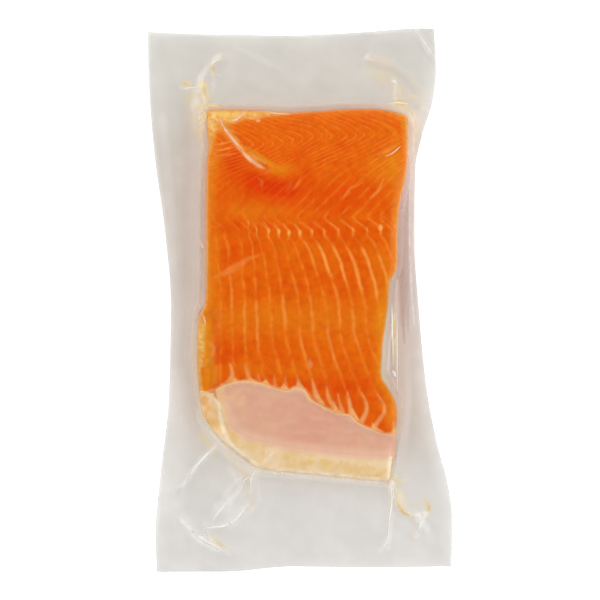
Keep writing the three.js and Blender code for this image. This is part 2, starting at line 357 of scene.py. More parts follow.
@dataclass(frozen=True)
class PackForm:
    """The pack's outline and heights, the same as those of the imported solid."""

    half_length: float = 147.2
    left_edge: Points = (
        (-147.2, -77.6), (-128, -78.2), (-92, -75.3), (-53, -71), (-2, -69.9), (38, -73.2), (77, -78.6),
        (112, -81.6), (138, -82.4), (147.2, -82.4),
    )
    right_edge: Points = (
        (-147.2, 81.8), (-134, 82.4), (-118, 82.4), (-98, 79.7), (-79, 74.5), (-46, 68.3), (-8, 64.5),
        (34, 61.8), (70, 62.2), (90, 66.2), (109, 72), (126, 73.7), (147.2, 72.6),
    )
    lower_edge: Points = ((-82.4, -147.2), (-43, -147.2), (-4, -144.4), (40, -144.8), (82.4, -144.3))
    upper_edge: Points = (
        (-82.4, 145.2), (-62, 144.2), (-4, 143.3), (40, 145.5), (66, 147.2), (82.4, 147.2),
    )

    block_height: Points = (
        (-99, 9.6), (-86, 11.2), (-72, 13.2), (-56, 16.2), (-36, 19.6), (-10, 22.8), (18, 25.4), (44, 27),
        (72, 27), (90, 25.2), (103, 22.5),
    )
    block_left: Points = (
        (-147.2, -46), (-112, -29), (-98, -22.6), (-91.5, -23), (-86, -29.8), (-76, -42.4), (-66, -50.4),
        (-58, -53.3), (-30, -55.7), (-4, -52.6), (40, -51.4), (83, -49.6), (103, -51.2),
    )
    block_right: Points = (
        (-99, 48.2), (-74, 51.4), (-54, 52.9), (20, 52.6), (48, 53.4), (72, 57.4), (103, 58.4),
    )
    block_corners: Points = ((-50.1, 101.8), (57.5, 99.3), (47.6, -97.6), (-50.5, -66))

    lining_line: Points = (
        (-50, -50), (-33, -43.4), (-19, -45), (7, -53), (20, -60.6), (32, -66.4), (50, -72.4),
    )
    lining_step: float = 1.3
    lining_step_width: float = 5.0

    notch_top: float = 16.0
    notch_deepest: float = -36.0
    notch_bottom: float = -54.0
    notch_reach: float = 9.4
    notch_dip: float = 8.5
    notch_edge: float = 4.5

    strip_top: float = -4.0
    strip_bottom: float = -74.0
    strip_width: float = 7.0
    strip_fade: float = 5.0
    strip_dip: float = 3.2

    skin_fold: Points = ((-43, 95), (-19, 70))
    skin_fold_depth: float = 1.1
    skin_fold_half: float = 3.4

    seam_height: Points = ((-99, 3.6), (-40, 6.4), (40, 9.6), (103, 8.2))
    margin_rest: float = 0.6
    margin_gap: float = 0.5
    margin_fall: Points = ((0, 1), (4, 0.86), (12, 0.52), (24, 0.18), (38, 0), (90, 0))
    upper_rise: Points = (
        (-7, 0), (-4.2, 0.06), (-2.2, 0.2), (-1, 0.42), (0, 0.7), (1.2, 0.86), (2.8, 0.95), (4.8, 0.99),
        (7, 1),
    )
    lower_rise: Points = ((-6, 1), (-3, 0.94), (-1, 0.7), (1, 0.32), (3, 0.08), (5, 0))

    wave_height: float = 1.0
    wave_pitch: float = 41.0
    wave_slant: float = 0.3
    wave_start: float = 8.0
    wave_full: float = 26.0
    creases: tuple = (
        (1.3, 3.4, (-65, -103), (-46, -81)),
        (1.5, 3.6, (-28, -94), (-36, -103), (-48, -119)),
        (1.4, 3.6, (-25, -98), (-24, -108), (-28, -113), (-40, -123), (-51, -123)),
        (1.4, 3.8, (-65, -119), (-57, -129), (-48, -134), (-37, -137)),
        (1.2, 3.2, (48, -99), (48, -119), (46, -134)),
        (1.5, 4.2, (52, -106), (55, -114), (62, -118), (67, -124)),
        (1.2, 3.6, (-50, 103), (-52, 112), (-52, 119), (-48, 126), (-42, 131)),
        (1.5, 3.8, (38, 130), (49, 127), (58, 121), (64, 113), (65, 106)),
        (1, 3, (62, 146), (72, 132)),
    )
    outline_steps: int = 8

    def block_outline(self) -> Array:
        """The block's outline from above: straight cuts, three round corners and one long slant.

        Returns:
            Its points, clockwise from the upper left.
        """
        n = self.outline_steps
        path = [(-47.6, 102.6)]
        path += spline(
            [path[-1], (-20, 102.7), (-4, 102.0), (22, 103.3), (40, 103.3), (48, 102.2), (55, 100.6)], n
        )
        path += round_corner([path[-1], (58.3, 99.9), (58.4, 96.6)], n)
        path += spline(
            [path[-1], (57.5, 70), (53.4, 48), (52.5, 20), (52.6, -20), (53, -54), (51.4, -74),
             (48.8, -95)], n
        )
        path += round_corner([path[-1], (48.2, -98.5), (45, -98.2)], n)
        path += spline([path[-1], (9, -94.6), (-21, -91.4), (-30, -85.8), (-42.5, -75.8), (-50.5, -66)], n)
        path += spline(
            [path[-1], (-53.4, -58), (-55.7, -30), (-54.4, -8), (-51.6, 3), (-51.4, 60), (-49.4, 83)], n
        )
        path += [(-50.7, 99)]
        path += round_corner([path[-1], (-51.1, 102.7), (-47.6, 102.6)], n)
        return np.array(path[:-1], float)

    def inside(self, x: Array, y: Array) -> Array:
        """Distance of places to the block's outline, positive over the block."""
        return inside_distance(x, y, self.block_outline())

    def notch(self, y: Array) -> Array:
        """How far the hollow in the cut side reaches in, at places along the block."""
        above = 1 - smoothstep(y, self.notch_deepest, self.notch_top)
        below = smoothstep(y, self.notch_bottom, self.notch_deepest)
        return self.notch_reach * np.where(y > self.notch_deepest, above, below)

    def block_top(self, x: Array, y: Array, over_notch: bool = True) -> Array:
        """Height of the block's top face, before its edges turn down.

        Args:
            x: Places across.
            y: Places along.
            over_notch: Whether the face sinks where the film bridges the hollow in the cut side.

        Returns:
            The heights.
        """
        height = SmoothCurve(self.block_height)(y)
        below = smoothstep(y - SmoothCurve(self.lining_line)(x), -self.lining_step_width, 0)
        height = height - self.lining_step * (1 - below)
        if over_notch:
            reach = self.notch(y)
            cut_side = SmoothCurve(self.block_right)(y) - reach
            step = np.clip((x - cut_side) / self.notch_edge, 0, 1)
            height = height - self.notch_dip * (reach / self.notch_reach) * step * step * (3 - 2 * step)
        along = smoothstep(y, self.strip_bottom, self.strip_bottom + self.strip_width)
        along = along * (1 - smoothstep(y, self.strip_top - self.strip_width, self.strip_top))
        from_left = x - SmoothCurve(self.block_left)(y)
        across = 1 - smoothstep(from_left, self.strip_width, self.strip_width + self.strip_fade)
        height = height - self.strip_dip * along * across
        fold = 1 - smoothstep(line_distance(x, y, self.skin_fold), 0, self.skin_fold_half)
        return height - self.skin_fold_depth * fold

    def margin_middle(self, x: Array, y: Array, outside: Array) -> Array:
        """Height between the two plies of the pouch's margin.

        Args:
            x: Places across.
            y: Places along.
            outside: Their distance outside the block's outline.

        Returns:
            The heights.
        """
        fall = SmoothCurve(self.margin_fall)(np.maximum(outside, 0))
        loose = smoothstep(outside, self.wave_start, self.wave_full)
        turn = 2 * math.pi * (x + self.wave_slant * y) / self.wave_pitch
        height = self.margin_rest + (SmoothCurve(self.seam_height)(y) - self.margin_rest) * fall
        height = height + self.wave_height * loose * (1 + np.sin(turn))
        for rise, half_width, *points in self.creases:
            height = height + rise * (1 - smoothstep(line_distance(x, y, points), 0, half_width))
        return height

    def film(self, x: Array, y: Array) -> Pair:
        """Heights of the pouch's two plies.

        Args:
            x: Places across.
            y: Places along.

        Returns:
            The heights of the lower ply and of the upper one.
        """
        inside = self.inside(x, y)
        middle = self.margin_middle(x, y, -inside)
        lower = (middle - self.margin_gap / 2) * SmoothCurve(self.lower_rise)(inside)
        flat = middle + self.margin_gap / 2
        upper = flat + (self.block_top(x, y) - flat) * SmoothCurve(self.upper_rise)(inside)
        return lower, upper

    def shown_film(self, x: Array, y: Array) -> Array:
        """Height of the upper ply."""
        return self.film(x, y)[1]

    def rim_patch(self, steps: int = 80) -> Patch:
        """The patch inside the pouch's rim.

        Args:
            steps: How many steps each edge takes.

        Returns:
            The patch.
        """
        curves = [SmoothCurve(c) for c in (self.left_edge, self.right_edge, self.lower_edge, self.upper_edge)]
        left, right, lower, upper = curves
        ends_low = (float(left(-self.half_length)), float(right(-self.half_length)))
        ends_high = (float(left(self.half_length)), float(right(self.half_length)))
        low_x, high_x = np.linspace(*ends_low, steps), np.linspace(*ends_high, steps)
        left_y = np.linspace(float(lower(ends_low[0])), float(upper(ends_high[0])), steps)
        right_y = np.linspace(float(lower(ends_low[1])), float(upper(ends_high[1])), steps)
        return Patch(
            np.stack([low_x, lower(low_x)], axis=1), np.stack([right(right_y), right_y], axis=1),
            np.stack([high_x, upper(high_x)], axis=1), np.stack([left(left_y), left_y], axis=1),
        )


# ---- Closed bodies grown from a grid -------------------------------------------------------------


@dataclass(frozen=True)
class Body:
    """A closed body: a grid whose faces are pushed on level by level, then laid to its place."""

    name: str
    columns: int
    rows: int
    levels: int

    def grow(self, place: Place) -> tuple[Piece, Array]:
        """Builds the body.

        Args:
            place: Gives the places of points by their shares across and along the grid and their level.
                Level 0 and the last one hold the whole grid, and the levels between only its border.

        Returns:
            The body's object, and the level of each of its points.
        """
        bpy.ops.object.select_all(action="DESELECT")
        bpy.ops.mesh.primitive_grid_add(
            x_subdivisions=self.columns, y_subdivisions=self.rows, size=1.0, location=(0.5, 0.5, 0.0)
        )
        piece = bpy.context.object
        piece.name = self.name
        piece.data.name = self.name
        bpy.ops.object.transform_apply(location=True, rotation=True, scale=True)
        bpy.ops.object.mode_set(mode="EDIT")
        bpy.ops.mesh.select_all(action="SELECT")
        for _ in range(self.levels):
            bpy.ops.mesh.extrude_region_move(TRANSFORM_OT_translate={"value": (0, 0, -1)})
        bpy.ops.object.mode_set(mode="OBJECT")
        points = np.zeros(len(piece.data.vertices) * 3)
        piece.data.vertices.foreach_get("co", points)
        u, v, depth = points.reshape(-1, 3).T
        u, v, level = np.clip(u, 0, 1), np.clip(v, 0, 1), np.rint(-depth).astype(int)
        laid = np.stack(place(u, v, level), axis=1) * MM
        piece.data.vertices.foreach_set("co", laid.ravel())
        piece.data.update()
        bpy.ops.object.mode_set(mode="EDIT")
        bpy.ops.mesh.select_all(action="SELECT")
        bpy.ops.mesh.normals_make_consistent(inside=False)
        bpy.ops.object.mode_set(mode="OBJECT")
        bpy.ops.object.shade_smooth()
        return piece, level


def write_fields(piece: Piece, **fields: Array) -> None:
    """Keeps numbers for each point of a piece, for its material to read.

    Args:
        piece: The piece.
        fields: One number for each point, by the field's name.
    """
    for name, values in fields.items():
        kept = piece.data.attributes.new(name, "FLOAT", "POINT")
        kept.data.foreach_set("value", np.asarray(values, np.float32))


def places(piece: Piece) -> Laid:
    """The places of a piece's points across, along and up, in millimetres."""
    points = np.zeros(len(piece.data.vertices) * 3)
    piece.data.vertices.foreach_get("co", points)
    x, y, z = points.reshape(-1, 3).T / MM
    return x, y, z


def select(pieces: list[Piece]) -> None:
    """Selects some bodies and nothing else, and makes the first one active."""
    bpy.ops.object.select_all(action="DESELECT")
    for piece in pieces:
        piece.select_set(True)
    bpy.context.view_layer.objects.active = pieces[0]


def joined(pieces: list[Piece], name: str) -> Piece:
    """Several bodies made one piece.

    Args:
        pieces: The bodies.
        name: The piece's name.

    Returns:
        The piece.
    """
    select(pieces)
    bpy.ops.object.join()
    pieces[0].name = name
    pieces[0].data.name = name
    return pieces[0]


class Slot(Enum):
    """The record's material slots."""

    FLESH = "salmon_flesh"
    LINING = "belly_lining"
    FAT = "belly_fat"
    FILM = "film"
    JUICE = "juice"


def settle(piece: Piece, slot: Slot, material: Material) -> None:
    """Dresses a piece, ties it to the pack's body, hides the solid that it stands for, and logs its slot.

    Args:
        piece: The piece.
        slot: The slot that its finish belongs to.
        material: Its material.
    """
    piece.data.materials.append(material)
    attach(piece, BODY)
    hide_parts(SOLID)
    log.info("%s: %d faces, slot %s", piece.name, len(piece.data.polygons), slot.value)


# ---- Materials -----------------------------------------------------------------------------------


def light(red: float, green: float, blue: float, gain: float = 1.0) -> tuple[float, float, float, float]:
    """A screen colour as linear light.

    Args:
        red: Red, from 0 to 255.
        green: Green.
        blue: Blue.
        gain: What the linear colour is multiplied by.

    Returns:
        Linear red, green and blue, and an alpha of 1.
    """
    shares = [channel / 255 for channel in (red, green, blue)]
    linear = [c / 12.92 if c <= 0.04045 else ((c + 0.055) / 1.055) ** 2.4 for c in shares]
    return (*(min(channel * gain, 1.0) for channel in linear), 1.0)


@dataclass(frozen=True)
class Patches:
    """A random pattern: patches per metre, rounds of finer ones, and the soft step that they go through."""

    scale: float
    detail: float
    low: float
    high: float
    least: float = 0.0
    most: float = 1.0
    stretch: tuple = (1, 1, 1)


class NodeDesk:
    """Lays out one material's nodes round its shader."""

    def __init__(self, name: str, **sockets: float) -> None:
        """Makes the material.

        Args:
            name: The material's name.
            sockets: Numbers for the shader's own sockets, by name with _ for a space.
        """
        self.material = bpy.data.materials.new(name)
        self.material.use_nodes = True
        self.tree = self.material.node_tree
        self.shader = self.tree.nodes["Principled BSDF"]
        for socket, value in sockets.items():
            self.shader.inputs[socket.replace("_", " ")].default_value = value
        self.spot = self.add("ShaderNodeTexCoord").outputs["Object"]

    def add(self, kind: str, **settings: object) -> bpy.types.Node:
        """Adds a node with some of its settings."""
        node = self.tree.nodes.new(kind)
        for name, value in settings.items():
            setattr(node, name, value)
        return node

    def feed(self, socket: Socket, value: object) -> None:
        """Gives a socket another node's output, or a number or colour of its own."""
        if isinstance(value, Socket):
            self.tree.links.new(value, socket)
        else:
            socket.default_value = value

    def field(self, name: str) -> Socket:
        """A number kept at each point of the mesh."""
        return self.add("ShaderNodeAttribute", attribute_name=name).outputs["Fac"]

    def noise(self, scale: float, detail: float = 3.0, stretch: tuple = (1, 1, 1)) -> Socket:
        """Soft random patches.

        Args:
            scale: Patches per metre.
            detail: How many finer rounds of patches are added.
            stretch: What each axis is multiplied by first.

        Returns:
            A socket of about 0.3 to 0.7, 0.5 on average.
        """
        mapping = self.add("ShaderNodeMapping")
        mapping.inputs["Scale"].default_value = stretch
        self.feed(mapping.inputs["Vector"], self.spot)
        node = self.add("ShaderNodeTexNoise")
        self.feed(node.inputs["Vector"], mapping.outputs["Vector"])
        node.inputs["Scale"].default_value = scale
        node.inputs["Detail"].default_value = detail
        return node.outputs["Fac"]

    def math(self, operation: str, first: object, second: object = 0.0) -> Socket:
        """One sum of two numbers."""
        node = self.add("ShaderNodeMath", operation=operation)
        self.feed(node.inputs[0], first)
        self.feed(node.inputs[1], second)
        return node.outputs[0]

    def times(self, first: object, second: object) -> Socket:
        """The product of two numbers."""
        return self.math("MULTIPLY", first, second)

    def less(self, first: object, second: object) -> Socket:
        """One number less another."""
        return self.math("SUBTRACT", first, second)

    def step(self, value: object, low: float, high: float, at_low: float = 0, at_high: float = 1) -> Socket:
        """A soft step from one number to another.

        Args:
            value: What is stepped.
            low: Where the step starts.
            high: Where it ends.
            at_low: The result up to low.
            at_high: The result from high on.

        Returns:
            The stepped socket.
        """
        node = self.add("ShaderNodeMapRange", interpolation_type="SMOOTHSTEP")
        for name, number in (("From Min", low), ("From Max", high), ("To Min", at_low), ("To Max", at_high)):
            node.inputs[name].default_value = number
        self.feed(node.inputs["Value"], value)
        return node.outputs["Result"]

    def patches(self, pattern: Patches) -> Socket:
        """A random pattern, from its least number to its most."""
        noise = self.noise(pattern.scale, pattern.detail, pattern.stretch)
        return self.step(noise, pattern.low, pattern.high, pattern.least, pattern.most)

    def blend(self, share: object, first: object, second: object) -> Socket:
        """A mix of two colours."""
        node = self.add("ShaderNodeMix", data_type="RGBA")
        self.feed(node.inputs[0], share)
        self.feed(node.inputs[6], first)
        self.feed(node.inputs[7], second)
        return node.outputs[2]

    def grain(self, colour: object, scale: float, depth: float) -> Socket:
        """Makes a colour lighter and darker in small patches.

        Args:
            colour: The colour.
            scale: Patches per metre.
            depth: How much lighter and darker it gets.

        Returns:
            The changed colour.
        """
        node = self.add("ShaderNodeMix", data_type="RGBA", blend_type="MULTIPLY")
        node.inputs[0].default_value = 1.0
        self.feed(node.inputs[6], colour)
        self.feed(node.inputs[7], self.step(self.noise(scale, 4), 0.25, 0.75, 1 - depth, 1 + depth))
        return node.outputs[2]

    def finish(self, colour: object, bump: tuple = ()) -> Material:
        """Feeds the shader.

        Args:
            colour: The base colour.
            bump: Bumps per metre, rounds of finer ones, and how far they stand out in metres.

        Returns:
            The material.
        """
        self.feed(self.shader.inputs["Base Color"], colour)
        if bump:
            node = self.add("ShaderNodeBump")
            node.inputs["Distance"].default_value = bump[2]
            self.feed(node.inputs["Height"], self.noise(bump[0], bump[1]))
            self.feed(self.shader.inputs["Normal"], node.outputs["Normal"])
        return self.material


@dataclass(frozen=True)
class Finish:
    """Named colours, as they look on a screen."""

    def tone(self, name: str, gain: float = 1.0) -> tuple:
        """One of the colours as linear light."""
        return light(*getattr(self, name), gain)

    def lay(self, desk: NodeDesk, colour: object, *coats: tuple) -> Socket:
        """Lays some of the colours over another one.

        Args:
            desk: The material's nodes.
            colour: The colour below.
            coats: The share and the name of each colour, from the lowest one up.

        Returns:
            The colour that shows.
        """
        for share, name in coats:
            colour = desk.blend(share, colour, self.tone(name))
        return colour


@dataclass(frozen=True)
class FleshFinish(Finish):
    """Moist orange flesh with pale muscle lines."""

    base: tuple = (222, 90, 6)
    warm: tuple = (229, 108, 10)
    deep: tuple = (218, 58, 4)
    # Lighter amber: amber patches of the flesh, and a painted glow of light through its thin edges.
    glow: tuple = (228, 137, 24)
    line: tuple = (245, 140, 46)
    bright: tuple = (250, 172, 86)
    fatty: tuple = (230, 190, 100)
    cream: tuple = (240, 182, 118)
    rim: tuple = (214, 148, 86)
    fleck: tuple = (242, 214, 146)

    waver: tuple = (70, 5)
    waver_depth: float = 0.55
    line_fade: float = 1.5
    fine_fade: tuple = (0.05, 0.3)
    slope: float = 0.14
    broken: Patches = Patches(170, 5, 0.36, 0.62, 0.25, 1.2)
    patch: Patches = Patches(55, 4, 0.35, 0.68, 0, 0.8)
    fibre: Patches = Patches(330, 5, 0.36, 0.7, 0, 0.6, (1, 0.5, 1))
    mottle: Patches = Patches(200, 6, 0.46, 0.72, 0, 0.4)
    uneven_fat: Patches = Patches(300, 5, 0.36, 0.62, 0.5, 1.05)
    uneven_cream: Patches = Patches(160, 3, 0.3, 0.6, 0.8, 1.1)
    grain: tuple = (320, 0.07)
    bump: tuple = (700, 3, 0.0001)

    def material(self) -> Material:
        """Builds the material.

        Returns:
            A material that reads the fields septa, line, fine, width, deep, glow, bright, spark, fatty,
            cream, rim and fleck.
        """
        desk = NodeDesk(
            "salmon_flesh", Roughness=0.4, Specular_IOR_Level=0.06, Coat_Weight=0.04, Coat_Roughness=0.1
        )
        waver = desk.times(desk.less(desk.noise(*self.waver), 0.5), self.waver_depth)
        phase = desk.math("ADD", desk.field("septa"), waver)
        part = desk.math("FRACT", desk.math("ADD", phase, 0.5))
        away = desk.math("ABSOLUTE", desk.less(part, 0.5))
        core = desk.step(desk.math("DIVIDE", away, desk.field("width")), 0.0, self.line_fade, 1.0, 0.0)
        broken = desk.patches(self.broken)
        twice = desk.math("FRACT", desk.times(phase, 2.0))
        thin = desk.step(desk.math("ABSOLUTE", desk.less(twice, 0.5)), *self.fine_fade, 1.0, 0.0)
        lit = desk.times(core, desk.field("bright"))
        colour = self.lay(
            desk, self.tone("base"),
            (desk.patches(self.patch), "warm"),
            (desk.patches(self.fibre), "warm"),
            (desk.patches(self.mottle), "deep"),
            (desk.step(desk.math("FRACT", phase), 0.0, 1.0, self.slope, 0.0), "deep"),
            (desk.field("deep"), "deep"),
            # Lighter amber, in part a painted glow at the flesh's edges.
            (desk.field("glow"), "glow"),
            (desk.times(thin, desk.times(desk.field("fine"), broken)), "deep"),
            (desk.times(desk.times(core, desk.field("line")), broken), "line"),
            (desk.math("MAXIMUM", lit, desk.field("spark")), "bright"),
            (desk.times(desk.field("fatty"), desk.patches(self.uneven_fat)), "fatty"),
            (desk.times(desk.field("cream"), desk.patches(self.uneven_cream)), "cream"),
            (desk.field("fleck"), "fleck"),
            (desk.field("rim"), "rim"),
        )
        return desk.finish(desk.grain(colour, *self.grain), self.bump)


@dataclass(frozen=True)
class LiningFinish(Finish):
    """Smooth pale pink lining, cream at its rim."""

    base: tuple = (223, 172, 143)
    rosy: tuple = (222, 162, 137)
    cream: tuple = (236, 190, 138)
    band: tuple = (231, 186, 158)

    cloud: Patches = Patches(45, 4, 0.35, 0.66)
    streak: Patches = Patches(260, 3, 0.42, 0.75, 0, 0.3, (0.4, 1, 1))
    fray: tuple = (300, 3)
    fray_step: tuple = (0.25, 0.85)
    grain: tuple = (240, 0.025)
    bump: tuple = (500, 3, 0.0001)

    def material(self) -> Material:
        """Builds the material, which reads the fields rim and band."""
        desk = NodeDesk(
            "belly_lining", Roughness=0.4, Specular_IOR_Level=0.2, Coat_Weight=0.15, Coat_Roughness=0.1
        )
        frayed = desk.math("ADD", desk.field("rim"), desk.less(desk.noise(*self.fray), 0.5))
        colour = self.lay(
            desk, self.tone("base"),
            (desk.patches(self.cloud), "rosy"),
            (desk.patches(self.streak), "band"),
            (desk.field("band"), "band"),
            (desk.step(frayed, *self.fray_step), "cream"),
        )
        return desk.finish(desk.grain(colour, *self.grain), self.bump)


@dataclass(frozen=True)
class FatFinish(Finish):
    """Waxy cream fat with yellow blotches."""

    base: tuple = (232, 197, 143)
    pale: tuple = (238, 210, 172)
    yellow: tuple = (228, 184, 96)
    amber: tuple = (234, 170, 88)
    # Pale edge along the belly; along the slant it is the painted highlight of the film's crease.
    rim: tuple = (250, 236, 208)
    band: tuple = (231, 186, 158)

    cloud: Patches = Patches(70, 4, 0.36, 0.66)
    blotch: Patches = Patches(260, 4, 0.5, 0.68, 0, 0.36)
    uneven_amber: Patches = Patches(230, 4, 0.36, 0.6, 0.35, 1)
    uneven_rim: Patches = Patches(240, 4, 0.34, 0.6, 0.45, 1.05)
    grain: tuple = (240, 0.03)
    bump: tuple = (420, 4, 0.00016)

    def material(self) -> Material:
        """Builds the material, which reads the fields yellow, amber, rim and band."""
        desk = NodeDesk(
            "belly_fat", Roughness=0.4, Specular_IOR_Level=0.2, Coat_Weight=0.15, Coat_Roughness=0.12
        )
        blotch = desk.math("ADD", desk.patches(self.blotch), desk.field("yellow"))
        colour = self.lay(
            desk, self.tone("base"),
            (desk.patches(self.cloud), "pale"),
            (desk.math("MINIMUM", blotch, 1.0), "yellow"),
            (desk.times(desk.field("amber"), desk.patches(self.uneven_amber)), "amber"),
            (desk.field("band"), "band"),
            # Pale edge, with the painted crease highlight along the slant.
            (desk.times(desk.field("rim"), desk.patches(self.uneven_rim)), "rim"),
        )
        return desk.finish(desk.grain(colour, *self.grain), self.bump)


@dataclass(frozen=True)
class FilmFinish(Finish):
    """Clear glossy film: clear where it clings to the fish, hazy where the plies lie together."""

    grey: tuple = (201, 197, 188)
    low: tuple = (214, 210, 206)
    # Warm tan near the fish: partly juice stain, partly painted salmon colour reflected in the film.
    warm: tuple = (197, 178, 164)
    # Painted light: a pale tone on the lower ply beside the fish's foot, lifting the shade there.
    foot: tuple = (224, 240, 206)
    # Painted shade, tinted with the salmon colour that the film reflects, in bands beside the fish's sides.
    painted_rose_shade: tuple = (152, 102, 74)
    edge: tuple = (224, 224, 222)
    yellow: tuple = (238, 206, 116)
    orange: tuple = (230, 192, 140)
    # Painted highlight: a near white for the highlights on the film's folds, also used to paint the mist
    # field's pale marks.
    painted_highlight: tuple = (250, 248, 244)
    contact: tuple = (70, 30, 10)

    grey_gains: tuple = (1.03, 0.95)
    cloud: Patches = Patches(30, 4, 0.3, 0.7)
    uneven_marks: Patches = Patches(330, 5, 0.34, 0.62, 0.35, 1.15)
    grain: tuple = (120, 0.03)
    bump: tuple = (140, 4, 0.00025)

    contact_alpha: float = 0.04
    margin_alpha: float = 0.5
    foot_alpha: float = 0.05
    wall_reach: float = 3.6
    wall_edge: float = 0.8
    wall_rise: float = 3.0
    wall_rise_edge: float = 1.2
    face_edge: tuple = (-0.1, 0.7)
    marks_haze: tuple = (0.1, 1, 0, 0.8)
    contact_step: tuple = (0.75, 1)
    gloss: float = 0.5
    wall_dull: float = 0.42
    dull_edge: tuple = (0.6, 1.8, 1, 0)

    def material(self) -> Material:
        """Builds the material.

        Returns:
            A material that reads the fields over, lifted, warm, low, foot, rose, mist, yellow, orange, white
            and edge.
        """
        desk = NodeDesk("pouch_film", Roughness=0.28, IOR=1.45)
        over = desk.field("over")
        greys = [self.tone("grey", gain) for gain in self.grey_gains]
        colour = self.lay(
            desk, desk.blend(desk.patches(self.cloud), *greys),
            (desk.field("low"), "low"),
            # Warm tan: partly juice stain, partly painted reflection of the salmon.
            (desk.field("warm"), "warm"),
            # Painted light on the lower ply at the fish's foot.
            (desk.field("foot"), "foot"),
            # Painted shade beside the fish, tinted with reflected salmon colour.
            (desk.field("painted_rose_shade"), "painted_rose_shade"),
            # Pale film marks, in part painted light that lifts the shade beside the fish.
            (desk.field("pale_film_and_painted_light"), "painted_highlight"),
        )
        uneven = desk.patches(self.uneven_marks)
        marks = 0.0
        # The yellow and orange marks are juice stains; the white ones are painted highlights on the film's
        # folds.
        for name in ("yellow", "orange", "painted_highlight"):
            share = desk.times(desk.field(name), uneven)
            colour = self.lay(desk, colour, (share, name))
            marks = desk.math("MAXIMUM", marks, share)
        colour = desk.grain(self.lay(desk, colour, (desk.field("edge"), "edge")), *self.grain)
        raised = desk.step(desk.field("lifted"), self.wall_rise - self.wall_rise_edge, self.wall_rise)
        wall = desk.times(raised, desk.step(over, -self.wall_reach, self.wall_edge - self.wall_reach))
        clings = desk.math("MAXIMUM", wall, desk.step(over, *self.face_edge))
        clings = desk.times(clings, desk.less(1.0, desk.step(marks, *self.marks_haze)))
        colour = self.lay(desk, colour, (desk.step(clings, *self.contact_step), "contact"))
        haze = desk.math("ADD", self.margin_alpha, desk.times(desk.field("foot"), self.foot_alpha))
        haze = desk.times(haze, desk.less(1.0, clings))
        desk.feed(desk.shader.inputs["Alpha"], desk.math("MAXIMUM", haze, self.contact_alpha))
        beside = desk.times(wall, desk.step(over, *self.dull_edge))
        gloss = desk.less(self.gloss, desk.times(beside, self.wall_dull))
        desk.feed(desk.shader.inputs["Specular IOR Level"], gloss)
        return desk.finish(colour, self.bump)


@dataclass(frozen=True)
class CreaseFinish(Finish):
    """Film pinched double: a raised strand, pale partly from the doubled film and partly as a painted highlight
    along it.
    """

    name: str = "film_creases"
    # Near white, partly the doubled film and partly a painted highlight.
    pale: tuple = (252, 251, 248)
    tinted: tuple = (246, 240, 230)
    alpha: float = 0.75
    cloud: Patches = Patches(240, 3, 0.35, 0.7)
    bump: tuple = (700, 2, 8e-05)

    def material(self) -> Material:
        """Builds the material."""
        desk = NodeDesk(self.name, Roughness=0.3, Specular_IOR_Level=0.3, Alpha=self.alpha, IOR=1.45)
        return desk.finish(self.lay(desk, self.tone("pale"), (desk.patches(self.cloud), "tinted")), self.bump)


@dataclass(frozen=True)
class JuiceFinish(Finish):
    """Thin yellow juice between the plies."""

    deep: tuple = (236, 206, 132)
    pale: tuple = (246, 230, 184)
    alpha: float = 0.5
    cloud: Patches = Patches(300, 4, 0.36, 0.66)
    bump: tuple = (420, 3, 0.0001)

    def material(self) -> Material:
        """Builds the material."""
        desk = NodeDesk("juice", Roughness=0.1, Alpha=self.alpha, IOR=1.36)
        return desk.finish(self.lay(desk, self.tone("deep"), (desk.patches(self.cloud), "pale")), self.bump)


# ---- The fillet ----------------------------------------------------------------------------------


